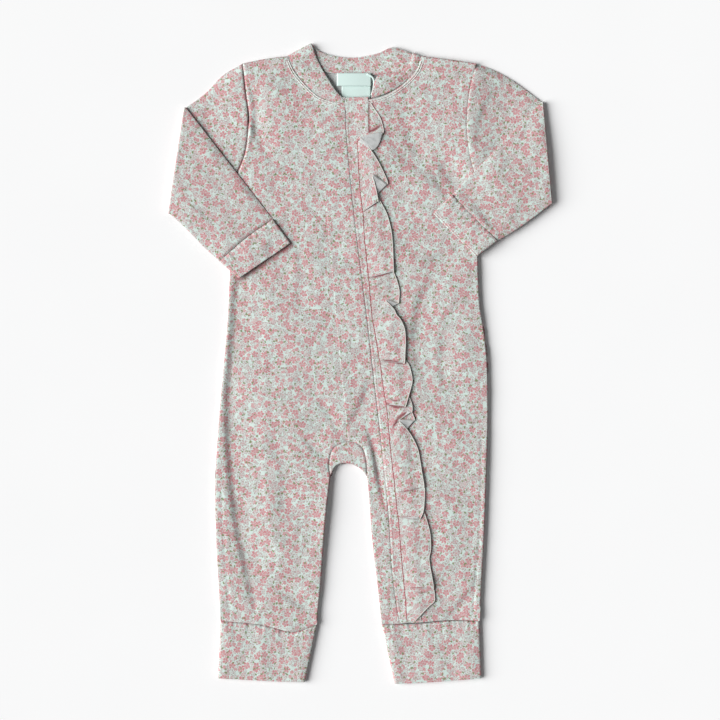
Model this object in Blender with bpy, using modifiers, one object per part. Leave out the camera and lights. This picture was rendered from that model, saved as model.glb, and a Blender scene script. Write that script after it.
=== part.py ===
"""Long-sleeved footless baby coverall in printed cotton knit, laid flat on its back.

Each cut piece of the garment is one object. A flat panel is an outline of seam lines, filled
with a mesh that follows the height of the cloth. A band, sleeve or cuff is a surface of rows.
Solidify gives every piece its wall. x runs to the wearer's left, y to the neck, z up from the
surface that the suit lies on. Tables and named sizes are in millimetres.
"""

import math
from collections import namedtuple

import bmesh
import bpy
import numpy as np
from mathutils.geometry import delaunay_2d_cdt

COLLECTION = "baby_coverall"
MM = 0.001

# ---------------------------------------------------------------- driving dimensions

WALL = 1.2  # one layer of cotton knit
BAND_WALL = 1.8  # knit folded double: neckband and cuffs
TAPE_WALL = 1.0
LABEL_WALL = 1.0
SEAM_GAP = 0.3
LAYOUT_CENTRE = (1.3, 2.25)  # middle of the laid-out suit, which becomes the origin

# Heights of the middle of each layer above the surface.
BACK = 0.6
BACK_EDGE = 1.2
FRONT = 3.2
FRONT_EDGE = 2.75
BAND_BACK = 0.9
BAND_FRONT = 4.1
CUFF_FRONT = 3.5
PILLOW = 1.3  # how far the front rises above FRONT, far from its edges
PILLOW_REACH = 25.0
EDGE_ROLL = 2.0
FOLD_AXIS = 4.75  # the sleeves fold over a line at this height
SLEEVE_FULLNESS = 0.9

# Mesh spacing.
FRONT_STEP = 13.0
BACK_STEP = 22.0
OUTLINE_STEP = 13.0
EDGE_RING = 3.2

PLACKET_WIDTH = 20.0
PLACKET_RISE = 1.6  # the placket lies on the left front
UNDERLAP = 8.0  # from the placket's seam to the hidden edge of the left front
TAPE_FROM, TAPE_TO = -4.0, 14.0
TAPE_DROP = 1.5
TAPE_LOWEST = 2.0
TAPE_TOP = 231.0
RUFFLE_OFFSET = 7.0

# ---------------------------------------------------------------- seam lines, a row for each level

Pair = namedtuple("Pair", "level right left")
Point = namedtuple("Point", "x y")

SHOULDERS = (Pair(272.5, -62.0, 54.5), Pair(270.0, -82.0, 76.0), Pair(266.0, -102.5, 103.0))

ARMHOLES = (
    Pair(266.0, -102.5, 103.0),
    Pair(244.0, -100.0, 97.5),
    Pair(222.0, -97.3, 95.0),
    Pair(204.0, -97.7, 95.0),
    Pair(186.0, -100.5, 97.2),
    Pair(172.0, -106.0, 100.8),
    Pair(160.0, -112.0, 104.0),
)

SIDES = (
    Pair(160.0, -112.0, 104.0),
    Pair(110.0, -112.7, 104.4),
    Pair(58.0, -114.5, 106.0),
    Pair(30.0, -116.2, 110.0),
    Pair(0.0, -119.0, 113.0),
    Pair(-47.0, -123.0, 113.5),
    Pair(-100.0, -126.2, 112.0),
    Pair(-153.0, -125.5, 110.0),
    Pair(-224.0, -121.5, 106.0),
)

INNER_LEGS = (
    Pair(-97.0, -25.0, 7.2),
    Pair(-122.0, -28.0, 9.3),
    Pair(-153.0, -30.7, 11.6),
    Pair(-190.0, -33.3, 16.0),
    Pair(-227.0, -37.0, 20.0),
)

PLACKET_SEAM = (
    Point(-11.7, 236.0),
    Point(-11.0, 201.0),
    Point(-4.0, 129.0),
    Point(5.0, 58.0),
    Point(12.5, -5.0),
    Point(20.3, -73.0),
    Point(26.5, -135.0),
    Point(29.3, -182.0),
    Point(35.5, -226.5),
)

BACK_NECK = (
    Point(-62.0, 272.5),
    Point(-49.0, 262.5),
    Point(-29.0, 257.6),
    Point(-3.0, 256.5),
    Point(28.0, 258.0),
    Point(46.0, 263.5),
    Point(54.5, 272.5),
)

RIGHT_NECK = (
    Point(-62.0, 272.5),
    Point(-55.0, 257.8),
    Point(-38.0, 239.5),
    Point(-25.0, 233.5),
    Point(-11.7, 231.0),
)

LEFT_NECK = (
    Point(54.5, 272.5),
    Point(49.5, 259.3),
    Point(37.0, 246.5),
    Point(20.0, 236.8),
    Point(-3.7, 232.5),
)

GUSSET_SEAM = (
    Point(-25.0, -97.0),
    Point(-26.3, -86.0),
    Point(-22.5, -72.5),
    Point(-9.5, -66.5),
    Point(2.0, -70.5),
    Point(6.3, -82.5),
    Point(7.2, -97.0),
)

CROTCH_FOLD = (
    Point(-24.6, -96.0),
    Point(-19.5, -87.5),
    Point(-9.0, -85.8),
    Point(1.0, -90.0),
    Point(6.8, -98.5),
)

RIGHT_CUFF_SEAM = (
    Point(-121.5, -224.0),
    Point(-86.0, -227.5),
    Point(-58.0, -233.5),
    Point(-37.0, -227.0),
)

LEFT_CUFF_SEAM = (
    Point(20.0, -227.0),
    Point(48.0, -226.5),
    Point(80.0, -223.8),
    Point(106.0, -224.0),
)

# ---------------------------------------------------------------- folds and ruffle

Crease = namedtuple("Crease", "x0 y0 x1 y1 half_width depth")

CREASES = (
    Crease(-106.0, 70.0, -111.0, -30.0, 6.0, 0.8),
    Crease(-112.0, -80.0, -100.0, -200.0, 7.0, 0.8),
    Crease(9.0, -8.0, -8.0, -55.0, 7.0, 0.9),
    Crease(-20.0, -40.0, -8.0, -60.0, 5.0, 0.7),
    Crease(8.0, -62.0, 20.0, -118.0, 4.0, 0.3),
    Crease(24.0, 205.0, 72.0, 162.0, 9.0, 0.8),
    Crease(62.0, 74.0, 48.0, 28.0, 8.0, 0.8),
    Crease(80.0, 40.0, 70.0, -8.0, 7.0, 0.6),
    Crease(102.0, -196.0, 82.0, -220.0, 5.0, 0.7),
    Crease(-76.0, -196.0, -42.0, -216.0, 6.0, 0.7),
)

# Each wave of the ruffle ends at a fold that overhangs the next one.
Wave = namedtuple("Wave", "fold_level reach lift")
RUFFLE_TOP = 229.0
WAVES = (
    Wave(206.0, 22.0, 4.6),
    Wave(160.0, 25.5, 5.2),
    Wave(141.0, 19.0, 3.6),
    Wave(80.0, 23.0, 5.0),
    Wave(53.0, 25.5, 4.2),
    Wave(1.0, 26.0, 5.4),
    Wave(-34.0, 26.5, 4.6),
    Wave(-51.0, 24.5, 3.6),
    Wave(-111.0, 28.0, 5.6),
    Wave(-133.0, 24.0, 4.0),
    Wave(-194.0, 27.5, 5.2),
    Wave(-222.0, 25.0, 3.4),
)
RUFFLE_START_REACH = 12.0
WAVE_STEPS = (0.0, 0.12, 0.3, 0.5, 0.7, 0.86, 0.95)
WAVE_SHAPE = (0.0, 0.1, 0.38, 0.68, 0.92, 1.0, 0.62)
RUFFLE_ACROSS = (0.0, 0.3, 0.65, 1.0)

# A row of the neckband joins its seam to its free edge; rise is 0 on the back and 1 on the front.
BandRow = namedtuple("BandRow", "seam_x seam_y edge_x edge_y rise")
NECKBAND = (
    BandRow(-12.0, 231.4, -14.6, 235.6, 1.0),
    BandRow(-24.5, 233.9, -20.0, 241.5, 1.0),
    BandRow(-37.7, 240.0, -26.5, 251.5, 1.0),
    BandRow(-47.5, 249.4, -33.0, 262.5, 1.0),
    BandRow(-57.5, 262.5, -38.5, 274.0, 1.0),
    BandRow(-61.0, 269.6, -40.6, 280.8, 0.9),
    BandRow(-62.0, 272.7, -41.6, 283.4, 0.5),
    BandRow(-60.3, 271.6, -40.0, 281.8, 0.1),
    BandRow(-49.0, 262.9, -33.5, 276.5, 0.0),
    BandRow(-29.0, 258.0, -22.0, 272.8, 0.0),
    BandRow(-3.0, 256.9, -4.0, 271.2, 0.0),
    BandRow(25.0, 258.2, 15.5, 274.6, 0.0),
    BandRow(40.5, 261.6, 28.5, 280.0, 0.0),
    BandRow(50.6, 268.2, 39.5, 277.6, 0.0),
    BandRow(53.0, 271.0, 46.2, 274.0, 0.0),
    BandRow(53.4, 272.1, 47.0, 275.1, 0.15),
    BandRow(53.5, 272.5, 47.1, 275.5, 0.5),
    BandRow(53.4, 272.1, 47.0, 274.7, 0.85),
    BandRow(53.0, 271.0, 46.4, 273.0, 1.0),
    BandRow(51.9, 266.0, 45.3, 266.8, 1.0),
    BandRow(48.0, 258.0, 39.5, 259.5, 1.0),
    BandRow(37.0, 247.0, 28.5, 255.4, 1.0),
    BandRow(25.5, 240.0, 19.0, 250.6, 1.0),
    BandRow(12.5, 235.9, 12.5, 242.5, 1.0),
)
BAND_ACROSS = (0.0, 0.5, 1.0)

# ---------------------------------------------------------------- sleeves and cuffs

# top, under: ends of a row at the upper and the lower edge of the flat tube.
SleeveRow = namedtuple("SleeveRow", "top under")
# top_edge: the sleeve's upper outline between the armhole and the fold.
Sleeve = namedtuple("Sleeve", "outward top_edge fold cuff_seam cuff_end")

RIGHT_SLEEVE = Sleeve(
    outward=-1,
    top_edge=(Point(-120.0, 255.5), Point(-134.5, 240.5)),
    fold=SleeveRow(Point(-154.0, 227.5), Point(-168.0, 134.0)),
    cuff_seam=SleeveRow(Point(-76.5, 128.5), Point(-122.5, 92.0)),
    cuff_end=SleeveRow(Point(-60.0, 108.0), Point(-105.0, 76.5)),
)

LEFT_SLEEVE = Sleeve(
    outward=1,
    top_edge=(Point(119.0, 260.0), Point(137.0, 250.0)),
    fold=SleeveRow(Point(162.5, 232.5), Point(170.5, 142.5)),
    cuff_seam=SleeveRow(Point(81.5, 150.5), Point(121.5, 110.0)),
    cuff_end=SleeveRow(Point(66.0, 135.5), Point(104.5, 97.0)),
)

LegCuff = namedtuple("LegCuff", "seam end")
RIGHT_LEG_CUFF = LegCuff(
    seam=RIGHT_CUFF_SEAM,
    end=(Point(-124.0, -274.5), Point(-78.0, -277.0), Point(-47.5, -278.0)),
)
LEFT_LEG_CUFF = LegCuff(
    seam=LEFT_CUFF_SEAM,
    end=(Point(31.5, -279.5), Point(62.0, -278.0), Point(107.5, -274.5)),
)

UPPER_ARM_ROWS = 6
ROLL_TURNS = (30.0, 60.0, 90.0, 120.0, 150.0)  # degrees round the sleeve's fold
FOREARM_ROWS = 9
CUFF_ROWS = 3
TUBE_ACROSS = (0.02, 0.17, 0.34, 0.5, 0.66, 0.83, 0.98)

Label = namedtuple("Label", "left right bottom top height")
NECK_LABEL = Label(-20.0, 11.5, 246.5, 257.0, 3.9)
SIZE_LABEL = Label(-15.5, 10.0, 234.0, 257.0, 2.6)

# ---------------------------------------------------------------- colours

BODY_COLOUR = (0.53, 0.47, 0.46)
BAND_COLOUR = (0.56, 0.48, 0.48)
RUFFLE_COLOUR = (0.58, 0.44, 0.45)
TAPE_COLOUR = (0.75, 0.80, 0.78)
LABEL_COLOUR = (0.70, 0.83, 0.80)

# ---------------------------------------------------------------- lines


def curve(points, step=None, count=None):
    """Catmull-Rom curve through the points, resampled to even steps along its length."""
    knots = np.array(points, float)
    ends = 2 * knots[[0, -1]] - knots[[1, -2]]
    knots = np.vstack([ends[:1], knots, ends[1:]])
    u = np.linspace(0, 1, 12, endpoint=False)[:, None]
    spans = []
    for p0, p1, p2, p3 in zip(knots, knots[1:], knots[2:], knots[3:]):
        bend = 2 * p0 - 5 * p1 + 4 * p2 - p3
        twist = -p0 + 3 * p1 - 3 * p2 + p3
        spans.append(0.5 * (2 * p1 + (p2 - p0) * u + bend * u**2 + twist * u**3))
    fine = np.vstack(spans + [knots[-2:-1]])
    along = np.append(0, np.cumsum(np.linalg.norm(np.diff(fine, axis=0), axis=1)))
    if count is None:
        count = max(2, round(along[-1] / step) + 1)
    stops = np.linspace(0, along[-1], count)
    return np.stack([np.interp(stops, along, column) for column in fine.T], axis=1)


def side_of(table, side, count=None):
    """The curve of one column of a table of levels."""
    points = [(getattr(row, side), row.level) for row in table]
    return curve(points, OUTLINE_STEP, count)


def joined(*lines):
    """One closed outline from lines that follow each other head to tail."""
    return np.vstack([line[:-1] for line in lines])


def distance_to(points, line):
    """Shortest distance from each point to a polyline."""
    start, end = line[:-1], line[1:]
    step = end - start
    offset = points[:, None] - start
    share = (offset * step).sum(-1) / (step * step).sum(-1)
    nearest = start + np.clip(share, 0, 1)[..., None] * step
    return np.linalg.norm(points[:, None] - nearest, axis=-1).min(axis=1)


def inside(points, outline):
    """True for each point that a ray to +x takes out of the outline an odd number of times."""
    start, end = outline, np.roll(outline, -1, axis=0)
    x, y = points[:, :1], points[:, 1:]
    spans = (start[:, 1] > y) != (end[:, 1] > y)
    rise = np.where(end[:, 1] == start[:, 1], 1.0, end[:, 1] - start[:, 1])
    crossing = start[:, 0] + (y - start[:, 1]) / rise * (end[:, 0] - start[:, 0])
    return (spans & (x < crossing)).sum(axis=1) % 2 == 1


def inset(outline, distance):
    """The closed outline, which runs anticlockwise, moved inwards by the distance."""
    before = outline - np.roll(outline, 1, axis=0)
    after = np.roll(outline, -1, axis=0) - outline
    before /= np.linalg.norm(before, axis=1)[:, None]
    after /= np.linalg.norm(after, axis=1)[:, None]
    normals = np.stack([-before[:, 1] - after[:, 1], before[:, 0] + after[:, 0]], axis=1)
    lengths = np.linalg.norm(normals, axis=1)[:, None]
    return outline + 2 * distance * normals / np.maximum(lengths, 1.0) ** 2


def anticlockwise(outline):
    x, y = outline.T
    area = (x * np.roll(y, -1) - np.roll(x, -1) * y).sum()
    return outline if area > 0 else outline[::-1]


# ---------------------------------------------------------------- seams that two pieces share

RING_SHARES = np.array([0.0, *TUBE_ACROSS, 1.0])  # places across a flat tube, and on its seams


def at_shares(line, shares=RING_SHARES):
    """Points of a line at shares of its length."""
    stops = np.linspace(0, 1, len(line))
    return np.stack([np.interp(shares, stops, column) for column in line.T], axis=1)


ARMHOLE_LINES = {side: at_shares(side_of(ARMHOLES, side, 24)) for side in ("right", "left")}
HEM_LINES = {
    "right": at_shares(curve(RIGHT_CUFF_SEAM, count=24)),
    "left": at_shares(curve(LEFT_CUFF_SEAM, count=24)),
}
GUSSET_LINE = curve(GUSSET_SEAM, count=11)

# ---------------------------------------------------------------- heights of the cloth

FOLD_EDGES = [side_of(SIDES, "right"), side_of(SIDES, "left")]
FOLD_EDGES += [side_of(INNER_LEGS, "right"), side_of(INNER_LEGS, "left")]
FOLD_EDGES += [side_of(SHOULDERS, "right"), side_of(SHOULDERS, "left")]
FOLD_EDGES += [curve(CROTCH_FOLD, OUTLINE_STEP)]


def edge_distance(points):
    return np.min([distance_to(points, edge) for edge in FOLD_EDGES], axis=0)


def front_height(points):
    """Height of the front: rolled down at the folded edges, pillowed inside, with its creases."""
    depth = edge_distance(points)
    height = FRONT_EDGE + (FRONT - FRONT_EDGE) * (1 - np.exp(-depth / EDGE_ROLL))
    height += PILLOW * (1 - np.exp(-depth / PILLOW_REACH))
    for crease in CREASES:
        line = np.array([crease[:2], crease[2:4]])
        height -= crease.depth * np.exp(-((distance_to(points, line) / crease.half_width) ** 2))
    return height


def back_height(points):
    """Height of the back: flat on the surface, rolled up at the folded edges."""
    return BACK + (BACK_EDGE - BACK) * np.exp(-((edge_distance(points) / EDGE_ROLL) ** 2))


# ---------------------------------------------------------------- making objects


def material(name, colour):
    made = bpy.data.materials.new(name)
    made.use_nodes = True
    shader = made.node_tree.nodes["Principled BSDF"]
    shader.inputs["Base Color"].default_value = (*colour, 1.0)
    shader.inputs["Roughness"].default_value = 0.9
    shader.inputs["Metallic"].default_value = 0.0
    return made


def cloth_object(name, vertices, faces, wall, colour):
    """An open surface with a wall of the given thickness, half on each side of it."""
    mesh = bpy.data.meshes.new(name)
    placed = (np.asarray(vertices) - (*LAYOUT_CENTRE, 0.0)) * MM
    mesh.from_pydata(placed.tolist(), [], faces)
    mesh.update()
    mesh.shade_smooth()
    mesh.materials.append(material(name, colour))
    piece = bpy.data.objects.new(name, mesh)
    bpy.data.collections[COLLECTION].objects.link(piece)
    solidify = piece.modifiers.new("wall", "SOLIDIFY")
    solidify.thickness = wall * MM
    solidify.offset = 0.0
    return piece


def cloth_panel(name, outline, height, step, colour=BODY_COLOUR, wall=WALL):
    """A flat-cut piece: a triangle mesh inside an outline, raised to the height of the cloth."""
    outline = inset(anticlockwise(outline), SEAM_GAP / 2)
    ring = inset(outline, EDGE_RING)
    x_stops = np.arange(outline[:, 0].min(), outline[:, 0].max(), step)
    y_stops = np.arange(outline[:, 1].min(), outline[:, 1].max(), step * math.sqrt(0.75))
    grid_x, grid_y = np.meshgrid(x_stops, y_stops)
    grid_x[1::2] += step / 2
    grid = np.stack([grid_x.ravel(), grid_y.ravel()], axis=1)
    closed_outline = np.vstack([outline, outline[:1]])
    ring = ring[inside(ring, outline) & (distance_to(ring, closed_outline) > 0.85 * EDGE_RING)]
    grid = grid[inside(grid, outline) & (distance_to(grid, closed_outline) > EDGE_RING + 0.4 * step)]
    points = np.vstack([outline, ring, grid])
    border = list(range(len(outline)))
    edges = list(zip(border, border[1:] + border[:1]))
    filled = delaunay_2d_cdt([tuple(p) for p in points], edges, [border], 1, 1e-4)
    flat = np.array([tuple(p) for p in filled[0]])
    vertices = np.column_stack([flat, height(flat)])
    faces = [tuple(face) for face in filled[2]]
    return cloth_object(name, vertices, faces, wall, colour)


def cloth_rows(name, rows, wall, colour=BODY_COLOUR, tube=False):
    """A surface of rows of points; a tube's rows are closed rings."""
    rows = np.asarray(rows)
    count, across = rows.shape[:2]
    columns = range(across if tube else across - 1)
    faces = []
    for i in range(count - 1):
        for j in columns:
            k = (j + 1) % across
            faces.append((i * across + j, i * across + k, (i + 1) * across + k, (i + 1) * across + j))
    piece = cloth_object(name, rows.reshape(-1, 3), faces, wall, colour)
    mesh = bmesh.new()
    mesh.from_mesh(piece.data)
    bmesh.ops.recalc_face_normals(mesh, faces=mesh.faces)
    mesh.to_mesh(piece.data)
    mesh.free()
    return piece


# ---------------------------------------------------------------- the body


def placket_line(count=None):
    return curve(PLACKET_SEAM, OUTLINE_STEP, count)


def shifted(line, distance):
    """The line moved sideways, towards the wearer's left, by the distance."""
    along = np.gradient(line, axis=0)
    along /= np.linalg.norm(along, axis=1)[:, None]
    return line + distance * np.stack([-along[:, 1], along[:, 0]], axis=1)


def span(line, x_from=-math.inf, x_to=math.inf):
    """The stretch of a line between two values of x, with its cut ends on the line."""
    x, y = line.T
    stops = [max(x_from, x[0]), *x[(x > x_from) & (x < x_to)], min(x_to, x[-1])]
    stops = np.unique(stops)
    return np.column_stack([stops, np.interp(stops, x, y)])


def between_seams(line, top):
    """The stretch of the closure from a level at the neck down to the left leg's hem."""
    hem = np.interp(line[-1, 0], *HEM_LINES["left"].T)
    kept = line[(line[:, 1] < top - 2) & (line[:, 1] > hem + 2)]
    first = (np.interp(top, line[::-1, 1], line[::-1, 0]), top)
    last = (line[-1, 0], hem)
    return np.vstack([first, kept, last])


def make_back():
    outline = joined(
        curve(BACK_NECK, OUTLINE_STEP)[::-1],
        side_of(SHOULDERS, "right"),
        ARMHOLE_LINES["right"],
        side_of(SIDES, "right"),
        HEM_LINES["right"],
        side_of(INNER_LEGS, "right")[::-1],
        GUSSET_LINE,
        side_of(INNER_LEGS, "left"),
        HEM_LINES["left"],
        side_of(SIDES, "left")[::-1],
        ARMHOLE_LINES["left"][::-1],
        side_of(SHOULDERS, "left")[::-1],
    )
    cloth_panel("back", outline, back_height, BACK_STEP)


def make_right_front():
    """The right half, its leg, and the strip of the left leg inside the placket."""
    placket = between_seams(placket_line(), RIGHT_NECK[-1].y)
    outline = joined(
        side_of(SHOULDERS, "right"),
        ARMHOLE_LINES["right"],
        side_of(SIDES, "right"),
        HEM_LINES["right"],
        side_of(INNER_LEGS, "right")[::-1],
        GUSSET_LINE,
        side_of(INNER_LEGS, "left"),
        span(HEM_LINES["left"], x_to=placket[-1, 0]),
        placket[::-1],
        curve(RIGHT_NECK, OUTLINE_STEP)[::-1],
    )
    cloth_panel("right_front", outline, front_height, FRONT_STEP)


def make_left_front():
    """The left half, from its hidden edge under the placket."""
    edge = between_seams(shifted(placket_line(), UNDERLAP), LEFT_NECK[-1].y)
    outline = joined(
        edge,
        span(HEM_LINES["left"], x_from=edge[-1, 0]),
        side_of(SIDES, "left")[::-1],
        ARMHOLE_LINES["left"][::-1],
        side_of(SHOULDERS, "left")[::-1],
        np.vstack([curve(LEFT_NECK, OUTLINE_STEP), edge[:1]]),
    )
    cloth_panel("left_front", outline, front_height, FRONT_STEP)


def make_gusset():
    """A crescent let into the crotch, folded over its lower edge from front to back."""
    seam = GUSSET_LINE[1:-1]
    fold = curve(CROTCH_FOLD, count=len(GUSSET_LINE))[1:-1]
    to_fold = fold - seam
    to_fold /= np.linalg.norm(to_fold, axis=1)[:, None]
    seam = seam + SEAM_GAP * to_fold
    middle = (BACK + FRONT) / 2
    radius = (FRONT - BACK) / 2
    rows = []
    for share, turn in ((0, 0), (0.5, 0), (1, 0), (1, 60), (1, 120), (1, 180), (0.5, 180), (0, 180)):
        angle = math.radians(turn)
        plan = seam + share * (fold - radius * to_fold - seam)
        plan = plan + radius * math.sin(angle) * to_fold
        height = np.full(len(seam), middle + radius * math.cos(angle))
        rows.append(np.column_stack([plan, height]))
    cloth_rows("gusset", rows, WALL)


# ---------------------------------------------------------------- closure and ruffle


def strip_along(line, offsets, height):
    """Rows along a line: one point at each sideways offset, at the height of that place."""
    columns = []
    for offset in offsets:
        plan = shifted(line, offset)
        columns.append(np.column_stack([plan, height(plan, offset)]))
    return np.stack(columns, axis=1)


def placket_height(plan, offset):
    """The placket leaves its seam at the front's height and climbs onto the left front."""
    climb = min(1.0, (offset - SEAM_GAP / 2) / 4.0)
    return front_height(plan) + PLACKET_RISE * climb


def make_placket():
    line = between_seams(placket_line(), PLACKET_SEAM[0].y)
    line[-1, 1] += 2 * SEAM_GAP
    rows = strip_along(line, (SEAM_GAP / 2, 4.0, 12.0, PLACKET_WIDTH), placket_height)
    cloth_rows("placket", rows, WALL)


def make_zip_tape():
    line = between_seams(placket_line(), TAPE_TOP)
    line[-1, 1] += SEAM_GAP
    middle = (TAPE_FROM + TAPE_TO) / 2

    def height(plan, offset):
        return np.maximum(front_height(plan) - TAPE_DROP, TAPE_LOWEST)

    cloth_rows(
        "zip_tape", strip_along(line, (TAPE_FROM, middle, TAPE_TO), height), TAPE_WALL, TAPE_COLOUR
    )


def ruffle_profile():
    """Stations down the ruffle: level, reach and lift of its free edge."""
    top, reach_before = RUFFLE_TOP, RUFFLE_START_REACH
    stations = []
    for wave in WAVES:
        for step, shape in zip(WAVE_STEPS, WAVE_SHAPE):
            level = top + (wave.fold_level - top) * step
            reach = reach_before + (wave.reach - reach_before) * math.sin(math.pi / 2 * min(1, step * 1.2))
            stations.append((level, reach, wave.lift * shape))
        top, reach_before = wave.fold_level, wave.reach - 6.0
    stations.append((top, reach_before, 0.0))
    return np.array(stations)


def make_ruffle():
    """One layer gathered along the placket; its lift grows from the stitching to the free edge."""
    stations = ruffle_profile()
    line = placket_line(200)[::-1]
    root_x = np.interp(stations[:, 0], line[:, 1], line[:, 0]) + RUFFLE_OFFSET
    columns = []
    for share in RUFFLE_ACROSS:
        x = root_x + stations[:, 1] * share
        plan = np.column_stack([x, stations[:, 0]])
        base = front_height(plan) + PLACKET_RISE + WALL + SEAM_GAP
        lift = stations[:, 2] * share**0.8
        columns.append(np.column_stack([plan, base + lift]))
    cloth_rows("ruffle", np.stack(columns, axis=1), WALL, RUFFLE_COLOUR)


# ---------------------------------------------------------------- neck


def make_neckband():
    """A ring, open at the front, that lies doubled: over the back, round each side, on the fronts."""
    rows = []
    for row in NECKBAND:
        height = BAND_BACK + (BAND_FRONT - BAND_BACK) * row.rise
        seam = np.array([row.seam_x, row.seam_y, height])
        edge = np.array([row.edge_x, row.edge_y, height])
        inward = (edge - seam) / np.linalg.norm(edge - seam)
        seam = seam + SEAM_GAP / 2 * inward
        rows.append([seam + (edge - seam) * share for share in BAND_ACROSS])
    cloth_rows("neckband", rows, BAND_WALL, BAND_COLOUR)


def make_label(name, label):
    corners = [
        (label.left, label.bottom),
        (label.right, label.bottom),
        (label.left, label.top),
        (label.right, label.top),
    ]
    rows = np.array([(*corner, label.height) for corner in corners]).reshape(2, 2, 3)
    cloth_rows(name, rows, LABEL_WALL, LABEL_COLOUR)


# ---------------------------------------------------------------- sleeves and cuffs


def patch(first, last, top, under, share):
    """Points at a share of the way from the first line to the last, between two edge lines."""
    t = np.linspace(0, 1, len(first))[:, None]
    s = share
    at_top = np.array([np.interp(s, np.linspace(0, 1, len(top)), c) for c in top.T])
    at_under = np.array([np.interp(s, np.linspace(0, 1, len(under)), c) for c in under.T])
    ruled = (1 - s) * first + s * last
    edges = (1 - t) * at_top + t * at_under
    corners = (1 - t) * ((1 - s) * first[0] + s * last[0]) + t * ((1 - s) * first[-1] + s * last[-1])
    return ruled + edges - corners


def ring_of(plan, low, high, normal=(0.0, 0.0)):
    """A flattened ring over a row: along the low layer, round the end and back along the high one.

    plan has a point at each end of the row and at each of TUBE_ACROSS between them; low and high
    are (sideways, up) distances of the two layers, the first along the plan normal.
    """
    low, high = np.asarray(low, float), np.asarray(high, float)
    middle = (low + high) / 2
    shift = [middle, *([low] * len(TUBE_ACROSS)), middle, *([high] * len(TUBE_ACROSS))]
    places = [plan[0], *plan[1:-1], plan[-1], *plan[-2:0:-1]]
    ring = []
    for place, (sideways, up) in zip(places, shift):
        ring.append((place[0] + sideways * normal[0], place[1] + sideways * normal[1], up))
    return np.array(ring)


def full(ring, amount, upper_half):
    """The ring with its upper layer raised in the middle of the row."""
    swell = amount * np.sin(np.pi * np.array(TUBE_ACROSS))
    count = len(TUBE_ACROSS)
    start = count + 2 if upper_half else 1
    ring[start : start + count, 2] += swell[::-1] if upper_half else swell
    return ring


def make_sleeve(name, sleeve, armhole):
    """A flat tube from the armhole to the fold, over it, and back along the forearm."""
    out = sleeve.outward
    fold_top, fold_under = np.array(sleeve.fold.top), np.array(sleeve.fold.under)
    along = (fold_under - fold_top) / np.linalg.norm(fold_under - fold_top)
    normal = out * np.array([-along[1], along[0]]) * np.sign(-along[1])
    axis = np.array([fold_top, fold_under]) - FOLD_AXIS * normal
    axis_row = at_shares(axis)
    clearance = SEAM_GAP + WALL / 2 * RING_SHARES**8  # wider at the armpit, where the wall leans
    armhole_row = shifted(armhole, out * clearance[:, None])
    top = curve([armhole_row[0], *sleeve.top_edge, axis[0]], count=12)
    under = curve([armhole_row[-1], axis[1]], count=12)
    seam = np.array([sleeve.cuff_seam.top, sleeve.cuff_seam.under], float)
    back_gap = np.array([axis.mean(axis=0) - seam.mean(axis=0)])
    seam_row = at_shares(seam + SEAM_GAP / 2 * back_gap / np.linalg.norm(back_gap))
    forearm_top = curve([axis[0], seam_row[0]], count=12)
    forearm_under = curve([axis[1], seam_row[-1]], count=12)
    rings = []
    for i in range(UPPER_ARM_ROWS):
        share = i / UPPER_ARM_ROWS
        plan = patch(armhole_row, axis_row, top, under, share)
        ring = ring_of(plan, (0, BACK), (0, FRONT))
        rings.append(full(ring, SLEEVE_FULLNESS * math.cos(math.pi / 2 * share), True))
    for turn in (0.0, *ROLL_TURNS, 180.0):
        angle = math.radians(turn)
        low = (FOLD_AXIS - BACK) * math.sin(angle), FOLD_AXIS - (FOLD_AXIS - BACK) * math.cos(angle)
        high = (FOLD_AXIS - FRONT) * math.sin(angle), FOLD_AXIS - (FOLD_AXIS - FRONT) * math.cos(angle)
        rings.append(ring_of(axis_row, low, high, normal))
    for i in range(1, FOREARM_ROWS + 1):
        share = i / FOREARM_ROWS
        plan = patch(axis_row, seam_row, forearm_top, forearm_under, share)
        ring = ring_of(plan, (0, 2 * FOLD_AXIS - BACK), (0, 2 * FOLD_AXIS - FRONT))
        rings.append(full(ring, SLEEVE_FULLNESS * math.sin(math.pi / 2 * share), False))
    cloth_rows(name, rings, WALL, tube=True)


def make_cuff(name, seam, end, low, high):
    """A flat tube of doubled knit between its seam and its free end."""
    first, last = at_shares(seam), at_shares(end)
    along = last.mean(axis=0) - first.mean(axis=0)
    first = first + SEAM_GAP * along / np.linalg.norm(along)
    rings = []
    for i in range(CUFF_ROWS + 1):
        plan = first + (last - first) * i / CUFF_ROWS
        rings.append(ring_of(plan, (0, low), (0, high)))
    cloth_rows(name, rings, BAND_WALL, BAND_COLOUR, tube=True)


def make_sleeve_cuff(name, sleeve):
    seam = np.array([sleeve.cuff_seam.top, sleeve.cuff_seam.under], float)
    end = np.array([sleeve.cuff_end.top, sleeve.cuff_end.under], float)
    low = 2 * FOLD_AXIS - FRONT
    make_cuff(name, seam, end, low, low + CUFF_FRONT - BAND_BACK)


def make_leg_cuff(name, cuff):
    seam, end = curve(cuff.seam, count=24), curve(cuff.end, count=24)
    make_cuff(name, seam, end, BAND_BACK, CUFF_FRONT)


# ---------------------------------------------------------------- the suit


def clear_scene():
    for thing in list(bpy.data.objects):
        bpy.data.objects.remove(thing, do_unlink=True)


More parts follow.
